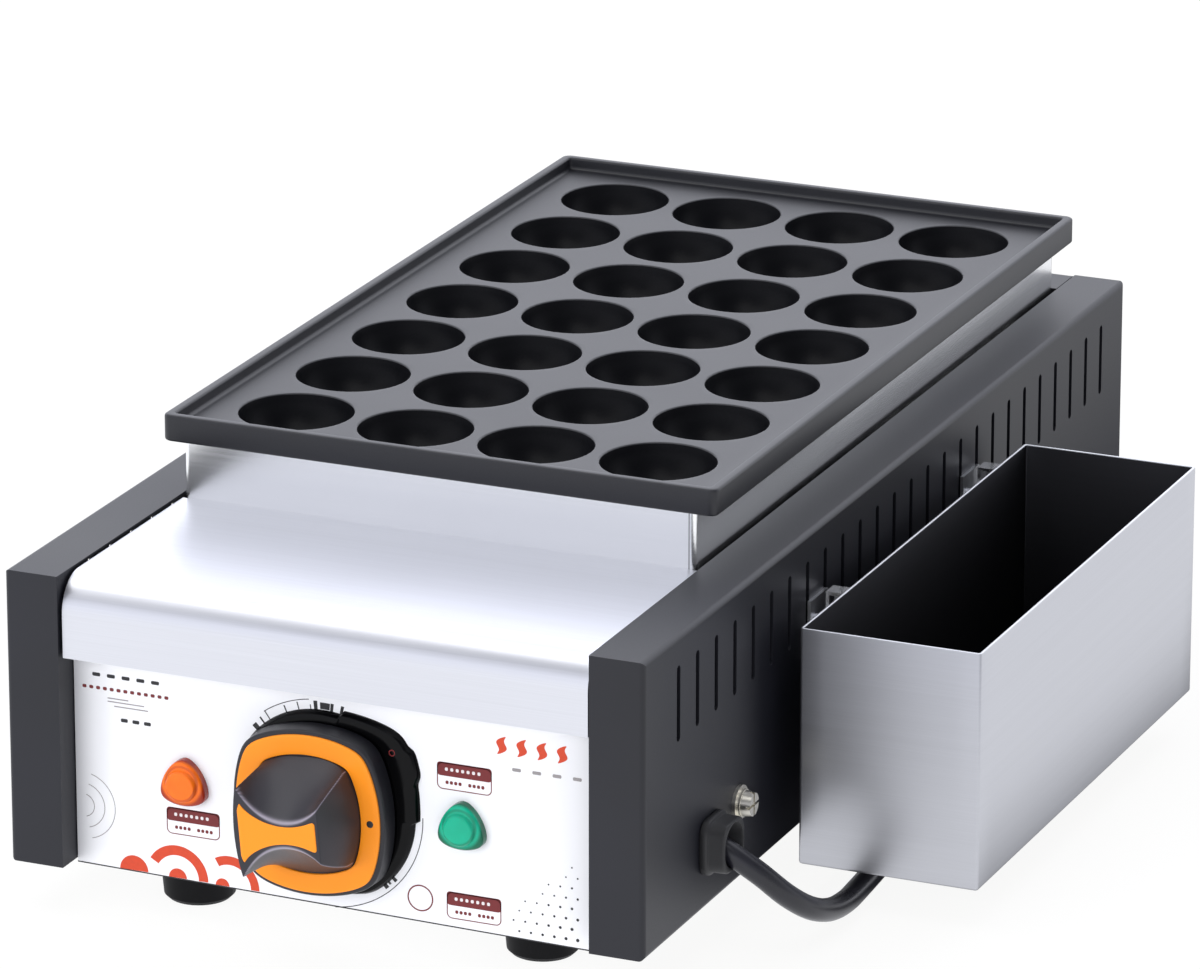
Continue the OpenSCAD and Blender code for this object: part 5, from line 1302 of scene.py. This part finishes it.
class TAKOYAKI_OT_stage(bpy.types.Operator):
    """Set the camera, the pale floor and the studio light"""

    bl_idname = "takoyaki.stage"
    bl_label = "Stage"

    # The camera's place from the middle of the cups' deck, and its axes, solved from
    # the rims of the cups and the corners of the case.
    PLACE = (1.1052, -2.5806, 0.8887)
    DECK = 148.4 * MM
    HEADING, HEIGHT = 23.448, 18.701

    def execute(self, context):
        scene = context.scene
        stage = settings("stage")
        lens = bpy.data.cameras.new("camera")
        lens.lens, lens.sensor_width, lens.sensor_fit = stage.lens, 36, "HORIZONTAL"
        lens.clip_end = 50
        camera = bpy.data.objects.new("camera", lens)
        scene.collection.objects.link(camera)
        place = Vector(self.PLACE) + Vector(MIDDLE) + Vector((0, 0, self.DECK))
        turn_z, lift = np.radians(self.HEADING), np.radians(self.HEIGHT)
        camera.matrix_world = (Matrix.Translation(place) @ Matrix.Rotation(turn_z, 4, "Z")
                               @ Matrix.Rotation(np.pi / 2 - lift, 4, "X"))
        scene.camera = camera
        scene.view_settings.view_transform = "Standard"

        floor = bpy.data.meshes.new("floor")
        floor.from_pydata([(-30, -30, 0), (30, -30, 0), (30, 30, 0), (-30, 30, 0)], [],
                          [(0, 1, 2, 3)])
        # A lit sweep: its own light keeps it white, with only a faint contact shadow.
        paper = Finish("floor_paper", roughness=0.9, specular_ior_level=0.0,
                       base_color=(0.10, 0.10, 0.10), emission_strength=1.05)
        white = paper.mix(paper.noise(0.7, 2), (0.865, 0.865, 0.86), (0.875, 0.875, 0.87))
        # Reflections see a dark strip along the machine's right, where its shadow lies.
        shade_strip = (abs(paper.axis("X") - 0.10).step(0.10, 0.045)
                       * paper.axis("Y").step(-0.13, -0.08))
        glow = paper.mix(shade_strip, (0.96, 0.97, 1.0), (0.03, 0.03, 0.035))
        seen = paper.node("ShaderNodeLightPath", output="Is Camera Ray")
        paper.set(emission_color=paper.mix(seen, glow, white))
        floor.materials.append(paper.material)
        floor = bpy.data.objects.new("floor", floor)
        scene.collection.objects.link(floor)

        world = bpy.data.worlds.new("studio")
        world.use_nodes = True
        self.light_world(Graph(world.node_tree), stage)
        scene.world = world
        self.softbox("softbox_left", (-1.6, -1.2, 1.9), (1.6, 1.6), stage.softbox)
        self.softbox("softbox_top", (-0.3, -0.65, 2.0), (2.4, 0.9), 2.2 * stage.softbox)
        fill = self.softbox("fill_front", (-0.7, -2.3, 0.8), (1.8, 1.4), stage.fill)
        fill.visible_glossy = False
        return {"FINISHED"}

    def light_world(self, sky, stage):
        """White behind the machine. As light it is cool, brightest from behind, low in
        front, dark high up in front, and weaker on the right."""
        way = sky.node("ShaderNodeTexCoord", output="Generated")
        x, y, z = (sky.node("ShaderNodeSeparateXYZ", None, [way], axis) for axis in "XYZ")
        front = 1.2 - 0.8 * z.step(0.32, 0.55)
        power = (front + (stage.sky - front) * y.step(0.0, 0.55)) * (0.5 + 0.5 * x.step(0.9, 0.1))
        light = sky.node("ShaderNodeBackground", None,
                         {"Color": (0.94, 0.96, 1.05), "Strength": power})
        seen = sky.node("ShaderNodeBackground", None, {"Color": (0.993, 0.993, 0.99)})
        camera = sky.node("ShaderNodeLightPath", output="Is Camera Ray")
        both = sky.node("ShaderNodeMixShader", None, {0: camera, 1: light, 2: seen})
        output = sky.tree.nodes.new("ShaderNodeOutputWorld")
        sky.tree.links.new(both.socket, output.inputs["Surface"])

    def softbox(self, name, place, size, power):
        """Rectangular lamp that faces the middle of the machine."""
        lamp = bpy.data.lights.new(name, "AREA")
        lamp.shape, lamp.size, lamp.size_y, lamp.energy = "RECTANGLE", *size, power
        made = bpy.data.objects.new(name, lamp)
        bpy.context.scene.collection.objects.link(made)
        aim = Vector((0, 0, 0.08)) - Vector(place)
        made.matrix_world = (Matrix.Translation(place)
                             @ aim.to_track_quat("-Z", "Y").to_matrix().to_4x4())
        return made


# ---- Add-on ----


class TAKOYAKI_PT_panel(bpy.types.Panel):
    """Steps of the takoyaki maker, in the order they run"""

    bl_idname = "TAKOYAKI_PT_panel"
    bl_label = "Takoyaki Maker"
    bl_space_type = "VIEW_3D"
    bl_region_type = "UI"
    bl_category = "Takoyaki"

    def draw(self, context):
        for step in STEPS:
            self.layout.operator(step.bl_idname)
        for group in GROUPS:
            values = settings(group)
            box = self.layout.box()
            box.label(text=group.capitalize())
            for name in values.bl_rna.properties.keys():
                if name not in ("rna_type", "name"):
                    box.prop(values, name)


GROUPS = {"plate": PlateSettings, "case": CaseSettings, "knob": KnobSettings,
          "lead": LeadSettings, "stage": StageSettings}
STEPS = (TAKOYAKI_OT_stage, TAKOYAKI_OT_lead, TAKOYAKI_OT_plate, TAKOYAKI_OT_dial,
         TAKOYAKI_OT_knob, TAKOYAKI_OT_lamps, TAKOYAKI_OT_printing, TAKOYAKI_OT_side_box,
         TAKOYAKI_OT_case, TAKOYAKI_OT_insides)


def register():
    for cls in (*GROUPS.values(), *STEPS, TAKOYAKI_PT_panel):
        bpy.utils.register_class(cls)
    for group, cls in GROUPS.items():
        setattr(bpy.types.Scene, "takoyaki_" + group, PointerProperty(type=cls))


def unregister():
    for group in GROUPS:
        delattr(bpy.types.Scene, "takoyaki_" + group)
    for cls in reversed((*GROUPS.values(), *STEPS, TAKOYAKI_PT_panel)):
        bpy.utils.unregister_class(cls)


def main():
    """Runs every step in order."""
    register()
    for step in STEPS:
        group, name = step.bl_idname.split(".")
        getattr(getattr(bpy.ops, group), name)()


if __name__ == "__main__":
    main()
